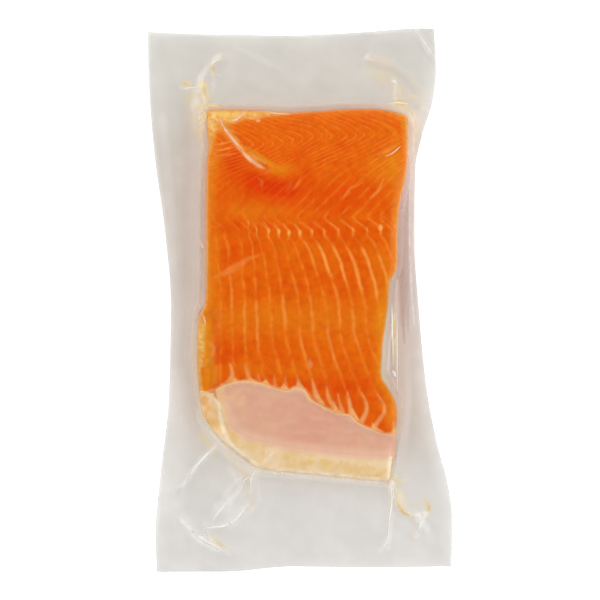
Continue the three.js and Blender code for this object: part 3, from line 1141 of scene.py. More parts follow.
@dataclass(frozen=True)
class MuscleLines:
    """The pale lines between the flesh's muscle segments, counted from left to right.

    Each line is known at two levels: along the row of bright bends in mid flank, and half way down the
    belly side. Above the row all lines take the same zigzag.
    """

    bend_level: float = 37.6
    belly_level: float = -16.3
    at_bend: tuple = (
        -45, -40.1, -32, -26.6, -22.8, -16.8, -11.4, -6, 0, 6.5, 13, 20.6, 29.3, 36.3, 43.4, 50.4,
    )
    at_belly: tuple = (
        -42.5, -36.5, -29.6, -23, -15.4, -7.9, 0.1, 6.8, 14.7, 21.6, 29.2, 35.8, 43.5, 50.9, 58, 65,
    )
    left_pitch: float = 5.4
    right_pitch: float = 7.0
    extra_left: int = 13
    extra_right: int = 3
    bow: float = 1.8
    bend_round: float = 1.1
    sweep_length: float = 32.5
    sweep_power: float = 1.25
    sweep: Points = (
        (-42.5, 0), (-29.6, 3.3), (-15.4, 8.1), (6.8, 9.2), (21.6, 10.3), (29.2, 11.4), (43.5, 15.2),
    )
    kick: float = 1.2
    kick_level: float = 34.4
    kick_reach: float = 2.4
    zigzag: Points = (
        (37.6, 0), (44.4, -8.1), (54.2, 1.6), (62.3, 9.8), (67.8, 16.3), (73.2, 27.1), (78.6, 40.7),
        (84, 53.1), (87, 58.5), (92.1, 51.5), (97.6, 39), (103, 26.5),
    )
    apex_level: float = 87.0
    apex_line: Points = ((-52, 85), (-24, 83.5), (-14, 83.8), (11, 88.3), (27, 88.3), (49, 90), (58, 90))

    def count(self, x: Array, y: Array) -> Array:
        """How many lines lie to the left of places, with the share of the step to the next one.

        Args:
            x: Places across.
            y: Places along.

        Returns:
            A number that is whole on each line.
        """
        first = -self.extra_left
        lefts = np.arange(first, 0)
        rights = np.arange(1, self.extra_right + 1)
        bend, belly = (
            np.concatenate([known[0] + lefts * self.left_pitch, known, known[-1] + rights * self.right_pitch])
            for known in (self.at_bend, self.at_belly)
        )
        rise = np.clip((y - self.belly_level) / (self.bend_level - self.belly_level), 0, 1) ** self.bow
        drop = np.maximum(self.belly_level - y, 0) / self.sweep_length
        lift = smoothstep(y, self.bend_level + 20, self.apex_level - 6)
        level = y + (self.apex_level - SmoothCurve(self.apex_line)(x)) * lift
        zigzag = np.array(self.zigzag).T
        nearby = [np.interp(level + step, *zigzag) for step in (-self.bend_round, 0, self.bend_round)]
        shift = np.where(y > self.bend_level, sum(nearby) / len(nearby), 0)
        shift = shift - self.kick * np.exp(-(((y - self.kick_level) / self.kick_reach) ** 2))
        total = np.full(x.shape, float(first))
        lines = [belly[i] + (bend[i] - belly[i]) * rise + shift for i in range(len(bend))]
        sweeps = SmoothCurve(self.sweep)(belly)
        lines = [line + sweeps[i] * drop**self.sweep_power for i, line in enumerate(lines)]
        for left, right in zip(lines, lines[1:]):
            total += np.clip((x - left) / np.maximum(right - left, 0.5), 0, 1)
        return total


@dataclass(frozen=True)
class Flecks:
    """Small irregular marks scattered over one spot of a surface."""

    count: int
    centre: tuple[float, float]
    reach: tuple[float, float]
    share: float
    seed: int
    length: tuple[float, float] = (0.8, 2.6)
    half_width: tuple[float, float] = (0.35, 0.85)

    def strokes(self) -> tuple:
        """Draws the marks.

        Returns:
            One short stroke for each mark, in a random place and direction.
        """
        draw = np.random.default_rng(self.seed)
        made = []
        for _ in range(self.count):
            x, y = np.array(self.centre) + draw.normal(0, 0.5, 2) * self.reach
            turn, length = draw.uniform(0, 2 * math.pi), draw.uniform(*self.length)
            half = draw.uniform(*self.half_width)
            dx, dy = length / 2 * math.cos(turn), length / 2 * math.sin(turn)
            share = self.share * draw.uniform(0.5, 1)
            made.append((share, (x - dx, y - dy, half / 2), (x, y, half), (x + dx, y + dy, half / 2)))
        return tuple(made)


def scattered(groups: tuple) -> tuple:
    """The strokes of several groups of flecks."""
    return sum((flecks.strokes() for flecks in groups), ())


@dataclass(frozen=True)
class Fillet:
    """The fillet portion: its flesh, with the lining and the fat of its belly laid into it."""

    form: PackForm
    lines: MuscleLines = MuscleLines()
    film_gap: float = 0.35
    side_inset: float = 0.15
    cut: Points = (
        (-62, 0), (-57.5, 0.6), (-53, 2.2), (-48.8, 4.4), (-44.4, 7.1), (-40.5, 9.3), (-36, 8.8),
        (-30, 8.3), (-22.8, 8), (-18, 7), (-9.8, 5.9), (-1, 4.8), (7.6, 4.3), (11.5, 3.6), (14.5, 1.2),
        (17, 0),
    )
    left_inset: Points = ((-10, 0), (-4, 0.8), (60, 0.8), (76, 0.2), (90, 0))
    top_inset: Points = ((-34, 0), (-24, 0.5), (-10, 0.8), (16, 0.7), (30, 0.3), (44, 0.1))
    edge_round: float = 1.2
    edge_drop: float = 0.7
    bed: float = 0.3
    bed_edge: float = 6.5
    columns: int = 200
    rows: int = 360
    wall_rings: int = 4
    ridge: float = 0.22
    ridge_edge: float = 5.0
    cover: float = 0.5
    overlap: float = 2.2
    sheet_thickness: float = 1.0
    sheet_round: float = 0.8
    sheet_drop: float = 0.2
    side_steps: int = 8
    lining_cells: tuple = (170, 46)
    lining_steps: int = 160
    lining_top: tuple = (-45.6, 51.9)
    lining_foot: tuple = (-44.6, 51.7)
    fat_cells: tuple = (260, 26)
    fat_steps: int = 6
    fat_inset: float = 0.05
    fat_lift: float = 0.12
    fat_ends: tuple = ((51.5, -84.6), (-54.6, -50.4))
    fat_left: tuple = ((-46.6, -50.4), (-45.8, -52.2))
    fat_right: tuple = (50.4, -84.5)
    flesh_border: Points = (
        (-56, -50.5), (-48.8, -49.8), (-41.2, -45.9), (-33.1, -43.6), (-27.1, -43.6), (-19.5, -45.2),
        (-14.6, -47.1), (-6.5, -48.8), (-2.4, -46.8), (2.8, -48.6), (5.8, -53.3), (11.8, -57),
        (19.3, -60.9), (26.6, -61.8), (31.4, -66.1), (37.9, -69.4), (45.5, -72.1), (56, -72.3),
    )
    fat_border: Points = (
        (-56, -53), (-50, -53.2), (-45, -53.6), (-41.5, -56.5), (-40, -62.3), (-36.3, -69.8),
        (-27.1, -74.9), (-16.8, -77.4), (-6.5, -79.5), (4.9, -81.2), (23.8, -83.4), (38, -84.2),
        (56, -84.6),
    )
    strip: Strokes = (
        (0.9, (-52.6, -5, 0.8), (-53.4, -10, 2.4), (-54, -18, 3.2), (-54.4, -27, 3.2), (-54.6, -35, 2.2)),
        (0.75, (-55.2, -34, 1.6), (-54.8, -42, 1.7), (-54.2, -50, 2)),
        (0.95, (-50.4, 101, 3.2), (-45.5, 100, 4), (-38.5, 99, 3.8), (-31, 99.8, 3), (-22, 100.4, 2.2),
         (-10, 101, 1.8), (-2, 101.4, 0.8)),
        (0.5, (-49.4, 100, 3.4), (-47.8, 94, 3.8), (-48.4, 87, 2.8), (-49.4, 79, 1.4)),
        (0.4, (-42, 94, 3), (-37, 89, 2.4), (-32, 82, 1.6)),
        (0.7, (52, 100.6, 0.8), (56.6, 99.4, 1.3), (57.6, 96, 1.2), (57.9, 88, 0.7)),
        (0.8, (50.6, -66, 0.7), (51, -70.5, 1.2), (50.6, -73.5, 1)),
    )
    fingers: Strokes = (
        (0.72, (-37.8, -34.2, 0.52), (-36.6, -38, 1.04), (-36.6, -41.4, 1.3), (-39.8, -45.4, 1.56),
         (-45, -49, 1.95), (-51, -51, 1.95)),
        (0.18, (-49.8, -22.4, 0.8), (-46.6, -25.2, 1.1), (-46.4, -27.6, 1.1), (-48.6, -31, 1),
         (-51.9, -35.6, 1.1)),
        (0.38, (-29.8, -34.4, 0.6), (-28.6, -38.4, 1.05), (-27.4, -42.4, 1.5)),
        (0.26, (-22.6, -39.6, 0.6), (-21.8, -44.6, 1.35)),
        (0.34, (-14, -40.6, 0.45), (-13.2, -46.6, 1.2)),
        (0.34, (-8.2, -41.2, 0.45), (-7.2, -48, 1.2)),
        (0.51, (-1.8, -40.4, 0.45), (-0.8, -44, 0.9), (0.4, -48.6, 1.35)),
        (0.42, (5.1, -32.6, 0.75), (5.6, -34.6, 1.35), (5.7, -36.6, 0.6)),
        (0.64, (6.4, -42.6, 0.45), (7.6, -47, 1.05), (8.9, -52, 1.5), (12, -55.8, 1.35)),
        (0.59, (14.4, -46.6, 0.45), (15.2, -51.8, 1.05), (17.8, -57, 1.35)),
        (0.51, (20.4, -50.6, 0.45), (21.6, -56, 0.9), (23, -60.8, 1.2)),
        (0.64, (25.4, -49.6, 0.45), (26.6, -54.8, 1.05), (27.3, -60.6, 1.35)),
        (0.59, (33.2, -50, 0.45), (35.7, -55.4, 0.9), (35.7, -60.2, 1.2), (33.2, -65.4, 1.5)),
        (0.59, (41.6, -50.6, 0.45), (45.2, -56.4, 0.9), (45.3, -60.4, 1.05), (42.9, -64.4, 1.2),
         (39.4, -69.4, 1.5)),
        (0.85, (-38.2, 96, 0.6), (-34.6, 96.8, 1.4), (-30, 100.6, 0.9)),
        (0.7, (-23, 96.4, 0.8), (-22, 96.6, 0.9)),
        (0.75, (-43.4, 97.4, 0.7), (-40.6, 92.2, 1), (-36.6, 86.8, 1.1), (-31.2, 80.2, 1.2),
         (-26.8, 75.6, 1.4), (-22.6, 72.4, 1.2), (-19.4, 70.8, 0.7)),
        (0.45, (-27.4, 79.6, 0.5), (-23, 76, 0.8), (-18.6, 73.4, 0.5)),
        (0.8, (-46, 97.6, 0.4), (-42.4, 96.9, 0.9), (-39.6, 97.6, 0.4)),
        (0.7, (-43.4, 100, 0.4), (-42.4, 96.8, 0.8), (-41.4, 94, 0.4)),
        (0.6, (-49.6, 100.4, 0.4), (-45.2, 100.8, 0.8), (-42.4, 99.6, 0.4)),
        (0.6, (-49.8, 96, 0.4), (-47.4, 94.6, 0.7), (-47.8, 91.6, 0.4)),
        (0.5, (-30, 98.4, 0.4), (-24.4, 97.6, 0.8), (-17, 99.4, 0.4)),
        (0.7, (-21, 101.4, 0.5), (-14.5, 100.5, 0.9), (-5.4, 99.9, 0.5)),
    )
    teeth: Points = ((-50, 0.6), (-42, 1), (-30, 1.6), (-12, 2.4), (6, 4.2), (26, 3.6), (46, 2.2))
    bends: tuple = (
        (-27.6, 41.6, 0.5, 0.4), (-23.3, 38.2, 0.6, 0.55), (-16.7, 37.2, 0.7, 0.9), (-11.3, 36.8, 0.9, 1),
        (-5.9, 36.2, 0.9, 1), (0, 36.4, 0.9, 0.95), (6.5, 36.9, 0.7, 0.55), (13.1, 36.9, 0.6, 0.45),
        (20.8, 37.5, 0.6, 0.55), (28.5, 37.9, 0.6, 0.5), (36.1, 37.9, 0.6, 0.45), (43.4, 38.9, 1.15, 1),
        (51, 39.8, 0.6, 0.4),
    )
    lining_streaks: Strokes = (
        (0.3, (-30.6, -58, 0.8), (-25, -52, 1.6), (-18.6, -46.4, 0.9)),
        (0.25, (-24.4, -59, 0.8), (-20.6, -53.6, 1.4), (-15, -48.6, 0.8)),
        (0.3, (-38, -62.6, 0.8), (-33, -56, 1.6), (-27.6, -50.6, 0.8)),
        (0.4, (-12, -57, 0.4), (-6.6, -53, 0.7), (-1, -51.6, 0.4)),
    )
    # Pale strokes along the slant: the painted highlight of the film's crease there, which also lifts the
    # slope's shade.
    slant_crease_highlight: Strokes = (
        (0.7, (-43.8, -54, 0.7), (-43, -62, 1.2), (-41.2, -70, 1.4), (-37.6, -77.6, 1.4), (-30, -84.4, 1.3),
         (-21.2, -90, 1.1)),
        (0.5, (-21.6, -90.6, 0.8), (-18, -86.6, 1.3), (-14.8, -82.6, 0.7)),
        (0.35, (-52.6, -58, 1), (-51.4, -66, 1.3), (-46, -72.4, 1.3), (-40.6, -76.6, 1)),
        (0.4, (-50, -51.6, 0.8), (-46.6, -53, 1.2), (-43.6, -57, 0.9)),
    )
    under_depth: float = 2.5
    face_depth: float = 1.2
    glow_reach: float = 3.4
    back_level: float = 98.0
    tooth_share: float = 0.24
    pale_edge: tuple = (0.1, 1.6)
    line_reach: float = 0.3
    clearness: Points = (
        (-75, 0.34), (-30, 0.36), (20, 0.4), (36, 0.38), (44, 0.3), (60, 0.24), (80, 0.32), (102, 0.26),
    )
    calm_spots: Spots = (
        ((-34, 52), (30, 10), 0.95), ((-12, 67), (26, 7), 0.7), ((-45, 70), (9, 15), 0.6),
        ((-50, 15), (7, 34), 0.6), ((-8, 27), (13, 7), 0.5),
    )
    clear_spot: tuple = ((22, 18), (26, 13), 0.15)
    deep_spots: Spots = (
        ((-36, 74), (6, 6), 0.8), ((-26, 66), (8, 4.5), 0.8), ((-17, 60.5), (13, 5.5), 1),
        ((-6, 58), (9, 5), 0.6), ((3, 67), (6, 6), 0.45), ((2, 80), (5, 6), 0.3), ((26, 59), (22, 6), 0.5),
        ((0, 50), (26, 6), 0.35), ((30, 52), (16, 5), 0.25), ((-44, 49), (6, 8), 0.5),
        ((-37, 40), (8, 7), 0.3), ((13, 37.4), (6, 4), 0.5), ((35, 37.4), (16, 3.4), 0.45),
        ((-3, 38), (12, 3), 0.3), ((-39.6, 23), (6, 9), 0.5), ((-27, 28), (6, 6), 0.3),
        ((-36.9, -27.1), (10, 7), 0.45), ((-18, -27), (10, 6), 0.2), ((25, -48), (20, 8), 0.3),
        ((49, 92), (6, 5), 0.3), ((6, -46), (24, 5), 0.3),
    )
    # Lighter amber spots; those along the flesh's edges add to the painted edge glow.
    glow_spots: Spots = (
        ((-11, 70.4), (7, 2.6), 0.8), ((-50, 66), (5, 22), 0.7), ((-50, 8), (6, 18), 0.6),
        ((50, 74), (5, 12), 0.6), ((53, 40), (4, 30), 0.45), ((45, -12), (5, 22), 0.7),
        ((51, -60), (3.4, 10), 0.8), ((-44, 97), (9, 8), 1), ((-20, 100), (16, 3), 0.6),
        ((41, 72), (7, 8), 0.4), ((-28, 48), (22, 5), 0.35), ((20, 101), (36, 2.2), 0.35),
        ((0, -10.5), (75, 9.5), 0.38), ((44, 22), (6, 8), 0.25), ((-46, 30), (5, 10), 0.3),
        ((-47, 76), (6, 6), 0.4), ((-10, -37), (30, 4), 0.15), ((20, 92), (40, 8), 0.12),
    )
    yellow_spots: tuple = (
        ((14.6, -88.2), (3.6, 1.8)), ((24.4, -89.6), (3.4, 1.6)), ((35.2, -91.3), (5, 1.6)),
        ((46.1, -92.3), (3, 2)), ((40.7, -95), (4, 1.2)), ((-35.2, -73.6), (3, 3)), ((-27, -79), (6, 2)),
        ((4, -88), (4, 1.5)), ((-47, -66), (3, 5)),
    )
    yellow_share: float = 0.45
    amber_reach: float = 6.5
    flecks: tuple = (
        Flecks(22, (-47, 96.5), (3.6, 8), 0.5, 41, (1.6, 4.2), (0.4, 0.8)),
        Flecks(9, (-34, 100.2), (9, 2), 0.45, 42, (1.6, 4), (0.35, 0.7)),
        Flecks(10, (-53.4, -22), (2, 18), 0.3, 43, (1.2, 3.4), (0.35, 0.7)),
    )
    right_side: float = 3.0
    bright_parts: tuple = (
        (8, 31, 20, 0.25), (9, 29, 15, 0.6), (10, 27.5, 11, 0.55), (11, 25, 5, 0.5), (12, 27, 3, 0.55),
        (13, 24, 5, 0.3), (5, 2, -12, 0.2), (7, 2, -16, 0.2), (2, -2, -22, 0.2), (3, -2, -26, 0.25),
        (9, 6, -14, 0.2), (6, -18, -32, 0.2), (8, -14, -34, 0.25), (10, -6, -26, 0.2), (1, 14, -6, 0.2),
    )
    hooks: Strokes = (
        (0.25, (23.3, 54.7, 0.5), (25.2, 57.6, 0.8), (27.1, 60.2, 0.7), (31, 61.6, 0.5), (34, 63.4, 0.4)),
        (0.32, (37.4, 54.7, 0.5), (39.6, 56.4, 0.8), (42.3, 59.1, 0.8), (43.8, 62.6, 0.7), (45, 65, 0.5)),
        (0.16, (-22.4, 65.4, 0.6), (-20.4, 63.6, 1), (-20.8, 60.4, 0.6)),
        (0.12, (-7.6, 58.4, 0.6), (-5.4, 61, 0.9), (-4.6, 63.6, 0.6)),
        (0.22, (-3.4, 59.2, 0.5), (-1.2, 62.4, 0.9), (0.4, 65.4, 0.5)),
        (0.4, (-45.6, 83.4, 0.4), (-41, 84.2, 0.7), (-36.6, 85.4, 0.4)),
        (0.35, (-45, 80.4, 0.4), (-40.6, 81, 0.7), (-35.4, 82.2, 0.4)),
        (0.3, (-44.2, 77.4, 0.4), (-40.2, 78, 0.7), (-34.8, 78.8, 0.4)),
        (0.28, (-45.5, 12.5, 1), (-36.9, 16.3, 2.2), (-28, 21.8, 1.4), (-22, 24, 0.8)),
        (0.3, (41.4, 78, 0.4), (46, 79.6, 0.9), (53, 83.6, 0.4)),
    )
    amber: Strokes = (
        (0.95, (-34.3, 84, 0.8), (-27.1, 80.4, 1.5), (-20.8, 76.2, 1.7), (-14.5, 72.2, 1.6)),
        (0.8, (-41.5, 96.5, 1.2), (-36, 88, 1.3), (-29, 79.6, 1.1), (-20, 71.8, 1)),
        (0.5, (-36, 99, 3), (-26, 99, 2.6), (-18, 100, 1.5)),
        (1, (-48.6, 97, 2.4), (-47.6, 90, 3.2), (-49, 80, 2.8), (-49.6, 66, 2)),
        (0.5, (44, 96, 1.5), (51, 90, 2), (52.5, 83, 1.6), (46, 78.5, 1)),
        (0.8, (48, 100.6, 1.2), (54, 98, 1.8), (56.4, 90, 1.8), (56.4, 76, 1.4)),
        (0.9, (-50.4, -4, 2), (-49.8, -16, 3.4), (-49.6, -28, 3.6), (-49.6, -38, 3.4), (-50, -46, 2.6)),
        (0.6, (-45.6, -36, 2.4), (-46.4, -42, 2.8), (-49, -46, 2.4)),
    )

    def side(self) -> Array:
        """The flesh's own outline, which follows the hollow in its cut side."""
        outline = inset(self.form.block_outline(), self.side_inset)
        right, left, upper = outline[:, 0] > 30, outline[:, 0] < -40, outline[:, 1] > 99
        outline[right, 0] -= SmoothCurve(self.cut)(outline[right, 1])
        outline[left, 0] += SmoothCurve(self.left_inset)(outline[left, 1])
        outline[upper, 1] -= SmoothCurve(self.top_inset)(outline[upper, 0])
        return outline

    def top(self, x: Array, y: Array) -> Array:
        """Height of the fillet's shown face, just under the film, with its edges rounded off.

        Args:
            x: Places across.
            y: Places along.

        Returns:
            The heights.
        """
        within = np.clip(inside_distance(x, y, self.side()), 0, self.edge_round)
        drop = self.edge_round - np.sqrt(np.maximum(self.edge_round**2 - (self.edge_round - within) ** 2, 0))
        _, film = self.form.film(x, y)
        crown = self.form.block_top(x, y, over_notch=False)
        return np.minimum(film, crown) - self.film_gap - self.edge_drop * drop

    def in_belly(self, x: Array, y: Array, border: Points) -> Array:
        """Distance of places below a border, positive on the belly side."""
        below = y < np.interp(x, *np.array(border).T)
        away = line_distance(x, y, border)
        return np.where(below, away, -away)

    def place(self, u: Array, v: Array, level: Array) -> Laid:
        """Lays the flesh: its top face, its side, and an underside that follows the lower ply.

        Args:
            u: Shares across.
            v: Shares along.
            level: Levels from the top face down to the underside.

        Returns:
            The places across, along and up.
        """
        outline = self.side()
        x, y = outline_patch(outline, self.form.block_corners)(edged(u), edged(v, 0.03))
        z = self.top(x, y)
        under = self.form.film(x, y)[0] + self.bed
        z = z + (under - z) * level / (self.wall_rings + 1)
        shown = level == 0
        count = self.lines.count(x[shown], y[shown])
        away = np.abs(count - np.rint(count)) * 2
        within = np.clip(inside_distance(x[shown], y[shown], outline) / self.ridge_edge, 0, 1)
        z[shown] -= self.ridge * (1 - away) ** 2 * within
        belly = self.in_belly(x[shown], y[shown], self.flesh_border)
        z[shown] -= self.cover * smoothstep(belly, -0.3, 0.5)
        return x, y, z

    def build_flesh(self, finish: FleshFinish) -> None:
        """Builds and dresses the flesh.

        Args:
            finish: Its finish.
        """
        piece, level = Body("salmon_flesh", self.columns, self.rows, self.wall_rings + 1).grow(self.place)
        self.join_bed(piece, level)
        x, y, z = places(piece)
        shown = z > self.form.film(x, y)[0] + self.under_depth
        face = z > self.top(x, y) - self.face_depth
        count = self.lines.count(x, y)
        belly = self.in_belly(x, y, self.flesh_border)
        inside = inside_distance(x, y, self.side())
        # Painted glow: lighter amber along the flesh's edges, standing in for light shining through the thin
        # edge.
        painted_edge_glow = np.exp(-((np.maximum(inside, 0) / self.glow_reach) ** 2))
        painted_edge_glow = painted_edge_glow * np.where(y > self.back_level, 0.35, 0.9) * smoothstep(y, -72, -60)
        glow = np.maximum(spots(x, y, self.glow_spots), painted(x, y, self.amber))
        under_fat = smoothstep(self.in_belly(x, y, self.fat_border), -2, 1) * (~shown)
        wavy = 0.5 + 0.5 * np.sin(x * 0.83) * np.sin(x * 0.37 + 1.3)
        tooth = np.clip(1 - np.abs(count - np.rint(count)) / self.tooth_share, 0, 1)
        tooth = tooth * SmoothCurve(self.teeth)(x)
        border = 0.75 * smoothstep(belly + 0.1 + 0.8 * wavy + tooth, -0.9, 0.6)
        pale_edge = (1 - smoothstep(inside, *self.pale_edge)) * smoothstep(y, -70, -60)
        write_fields(
            piece,
            septa=count,
            width=0.15 + 0.03 * (1 - smoothstep(-belly, 1.0, 11)) + 0.05 * smoothstep(y, 40, 60),
            line=self.line_strength(x, y, belly) * np.where(shown, 1, 0.4),
            fine=0.3 * smoothstep(y, 56, 80) * shown,
            deep=spots(x, y, self.deep_spots),
            glow=np.maximum(glow, painted_edge_glow),
            bright=self.bright_lines(y, count) * shown,
            spark=np.maximum(painted(x, y, self.hooks), self.bend_marks(x, y)) * shown,
            fatty=painted(x, y, self.strip) * np.where(face, 1, 0.5),
            fleck=painted(x, y, scattered(self.flecks)) * face,
            rim=pale_edge * np.where(face, 0.75, 0.3) * shown,
            cream=np.clip(under_fat + np.maximum(border, painted(x, y, self.fingers)) * shown, 0, 1),
        )
        settle(piece, Slot.FLESH, finish.material())

    def join_bed(self, piece: Piece, level: Array) -> None:
        """Makes the flat middle of the underside one face, where fine cells aren't needed.

        Args:
            piece: The flesh.
            level: The level of each of its points.
        """
        x, y, _ = places(piece)
        flat = (level == self.wall_rings + 1) & (self.form.inside(x, y) > self.bed_edge)
        select([piece])
        bpy.ops.object.mode_set(mode="EDIT")
        bpy.ops.mesh.select_mode(type="VERT")
        bpy.ops.object.mode_set(mode="OBJECT")
        piece.data.vertices.foreach_set("select", flat)
        edges = np.zeros(len(piece.data.edges) * 2, int)
        piece.data.edges.foreach_get("vertices", edges)
        piece.data.edges.foreach_set("select", flat[edges.reshape(-1, 2)].all(axis=1))
        corners = np.zeros(len(piece.data.polygons) * 4, int)
        piece.data.loops.foreach_get("vertex_index", corners)
        piece.data.polygons.foreach_set("select", flat[corners.reshape(-1, 4)].all(axis=1))
        bpy.ops.object.mode_set(mode="EDIT")
        bpy.ops.mesh.dissolve_faces()
        bpy.ops.object.mode_set(mode="OBJECT")

    def bend_marks(self, x: Array, y: Array) -> Array:
        """The bright bends of the muscle lines in mid flank.

        Args:
            x: Places across.
            y: Places along.

        Returns:
            1 on the brightest, 0 beside them.
        """
        strokes = []
        for across, along, half, share in self.bends:
            lean = 2.2 if across > self.right_side else 1.0
            strokes.append((
                share * 0.4, (across - 3.0 * lean, along + 5.0, 0.35),
                (across - 1.3 * lean, along + 2.4, 0.5), (across, along, half * 0.7),
            ))
            strokes.append((
                share, (across - 0.3, along + 1.0, half * 0.7), (across, along, half),
                (across, along - 1.3, half * 0.6),
            ))
            strokes.append((share * 0.3, (across, along - 1.0, 0.5), (across - 0.3, along - 3.6, 0.4)))
        return painted(x, y, tuple(strokes))

    def bright_lines(self, y: Array, count: Array) -> Array:
        """Where fat fills the muscle lines, so that they are brighter.

        Args:
            y: Places along.
            count: How many lines lie to the left of the places.

        Returns:
            0 on a plain line and between lines, 1 on the brightest.
        """
        total = np.zeros(y.shape)
        for line, high, low, share in self.bright_parts:
            on_line = share * np.exp(-(((count - line) / self.line_reach) ** 2))
            total += on_line * smoothstep(y, low - 4, low + 2) * (1 - smoothstep(y, high - 2, high + 3))
        return np.clip(total, 0, 1)

    def line_strength(self, x: Array, y: Array, belly: Array) -> Array:
        """How clearly the muscle lines show.

        Args:
            x: Places across.
            y: Places along.
            belly: Distance of the places past the flesh's border.

        Returns:
            0 where no line shows, 1 where it is clear.
        """
        strength = SmoothCurve(self.clearness)(y)
        for centre, reach, share in self.calm_spots:
            strength = strength * (1 - share * spot(x, y, centre, reach))
        strength = strength * (1 - smoothstep(-x, 43, 48) * (1 - smoothstep(y, -5, 5)))
        centre, reach, share = self.clear_spot
        strength = strength + share * spot(x, y, centre, reach)
        return np.clip(strength * (1 - 0.9 * smoothstep(belly, -10, -4) * smoothstep(x, -20, 0)), 0, 1.3)

    def sheet_place(self, patch: Patch, border: Array, lift: float) -> Place:
        """A way to lay a thin sheet into the fillet's top face.

        Args:
            patch: The sheet's outline.
            border: The sheet's outline as one closed line, at which its top rounds off.
            lift: How far it stands above the face.

        Returns:
            The place function for a body of two levels.
        """

        def place(u: Array, v: Array, level: Array) -> Laid:
            """Lays the sheet's upper and lower face."""
            x, y = patch(u, v)
            within = np.clip(np.abs(inside_distance(x, y, border)) / self.sheet_round, 0, 1)
            z = self.top(x, y) + lift - self.sheet_drop * (1 - within) ** 2
            return x, y, z - self.sheet_thickness * level

        return place

    def sheet(self, name: str, cells: tuple, lower: Array, upper: Array, steps: int, lift: float) -> Piece:
        """Builds a thin sheet that is laid into the fillet's top face.

        Args:
            name: The sheet's name.
            cells: Its cells across and along.
            lower: Points of its lower edge, from left to right.
            upper: Points of its upper edge, from left to right.
            steps: How many points its straight left and right edges have.
            lift: How far it stands above the face.

        Returns:
            The sheet.
        """
        left, right = (np.linspace(lower[end], upper[end], steps) for end in (0, -1))
        border = np.vstack([upper, right[::-1], lower[::-1], left])
        return Body(name, *cells, 1).grow(self.sheet_place(Patch(lower, right, upper, left), border, lift))[0]

    def along_border(self, border: Points, ends: tuple, drop: float) -> Array:
        """Points along one of the belly's borders between two places across, moved down by a drop."""
        across = np.linspace(*ends, self.lining_steps)
        return np.stack([across, np.interp(across, *np.array(spline(border, 6)).T) - drop], axis=1)

    def build_lining(self, finish: LiningFinish) -> None:
        """Builds and dresses the pale lining of the belly.

        Args:
            finish: Its finish.
        """
        lower = self.along_border(self.fat_border, self.lining_foot, self.overlap)
        upper = self.along_border(self.flesh_border, self.lining_top, 0)
        piece = self.sheet("belly_lining", self.lining_cells, lower, upper, self.side_steps, 0.0)
        x, y, _ = places(piece)
        top = self.in_belly(x, y, self.flesh_border)
        low = self.in_belly(x, y, self.fat_border)
        rim = 1 - np.clip((top - 0.3) / (3.6 - 1.8 * smoothstep(x, -10, 30)), 0, 1)
        rim = 0.75 * np.maximum(rim, 1 - smoothstep(x, -44, -35))
        rim = np.maximum(rim, 0.55 * spot(x, y, (-34, -53), (10, 6)))
        rim = np.maximum(rim, painted(x, y, self.lining_streaks))
        write_fields(piece, rim=rim, band=0.85 * smoothstep(low, -6.0, -1.0))
        settle(piece, Slot.LINING, finish.material())

    def build_fat(self, finish: FatFinish) -> None:
        """Builds and dresses the fat along the belly's edge.

        Args:
            finish: Its finish.
        """
        outline = inset(self.form.block_outline(), self.side_inset + self.fat_inset)
        start, stop = (nearest_point(outline, end) for end in self.fat_ends)
        outer = outline[start:stop + 1][::-1]
        belly = [point for point in self.fat_border if -46 < point[0] < 50] + [self.fat_right]
        inner = np.array([*self.fat_left, *spline(belly, 6)])
        piece = self.sheet("belly_fat", self.fat_cells, outer, inner, self.fat_steps, self.fat_lift)
        x, y, _ = places(piece)
        inside = self.form.inside(x, y)
        low = self.in_belly(x, y, self.fat_border)
        on_belly = smoothstep(-y, 66, 76)
        yellow = sum(spot(x, y, centre, reach) for centre, reach in self.yellow_spots)
        left_rim = np.exp(-((np.maximum(inside, 0) / self.amber_reach) ** 2)) * smoothstep(y, -78, -58)
        rim = 0.8 * on_belly * (1 - smoothstep(inside, 0.4, 3.0))
        write_fields(
            piece,
            yellow=np.clip(self.yellow_share * yellow, 0, 1),
            amber=np.clip(left_rim, 0, 1),
            # The pale belly edge, with the painted crease highlight along the slant.
            rim=np.maximum(rim, painted(x, y, self.slant_crease_highlight)),
            band=0.9 * on_belly * (1 - smoothstep(low, 0.0, 3.4)),
        )
        settle(piece, Slot.FAT, finish.material())


@dataclass(frozen=True)
class Strand:
    """A thin raised strand on a surface: points of (across, along, half width)."""

    points: tuple
    height: float = 0.28
    sink: float = 0.12
    steps: int = 30
    sides: int = 6
    turns: int = 8
    look: float = 0.04
    tip: float = 0.004
    rim: float = 0.06

    def build(self, name: str, surface: Height) -> Piece:
        """Builds the strand as a closed body that narrows to both ends.

        Args:
            name: The body's name.
            surface: The height of what it lies on.

        Returns:
            The body.
        """
        along = np.array(self.points, float)
        path = np.array([self.points[0][:2]] + spline(along[:, :2], self.turns))
        lengths = shares_along(path)
        widths = SmoothCurve(list(zip(shares_along(along[:, :2]), along[:, 2])))

        def place(u: Array, v: Array, level: Array) -> Laid:
            """Lays the strand's upper and lower face."""
            cx, cy = (np.interp(u, lengths, path[:, i]) for i in range(2))
            ahead, behind = np.clip(u + self.look, 0, 1), np.clip(u - self.look, 0, 1)
            dx, dy = (
                np.interp(ahead, lengths, column) - np.interp(behind, lengths, column) for column in path.T
            )
            size = np.hypot(dx, dy)
            taper = np.sqrt(np.clip(4 * u * (1 - u), self.tip, 1))
            side = (2 * v - 1) * widths(u) * taper
            x, y = cx - dy / size * side, cy + dx / size * side
            round_off = (1 - (2 * v - 1) ** 2) * taper + self.rim
            base = surface(x, y)
            return x, y, base + np.where(level == 0, self.height, -self.sink) * round_off

        return Body(name, self.steps, self.sides, 1).grow(place)[0]


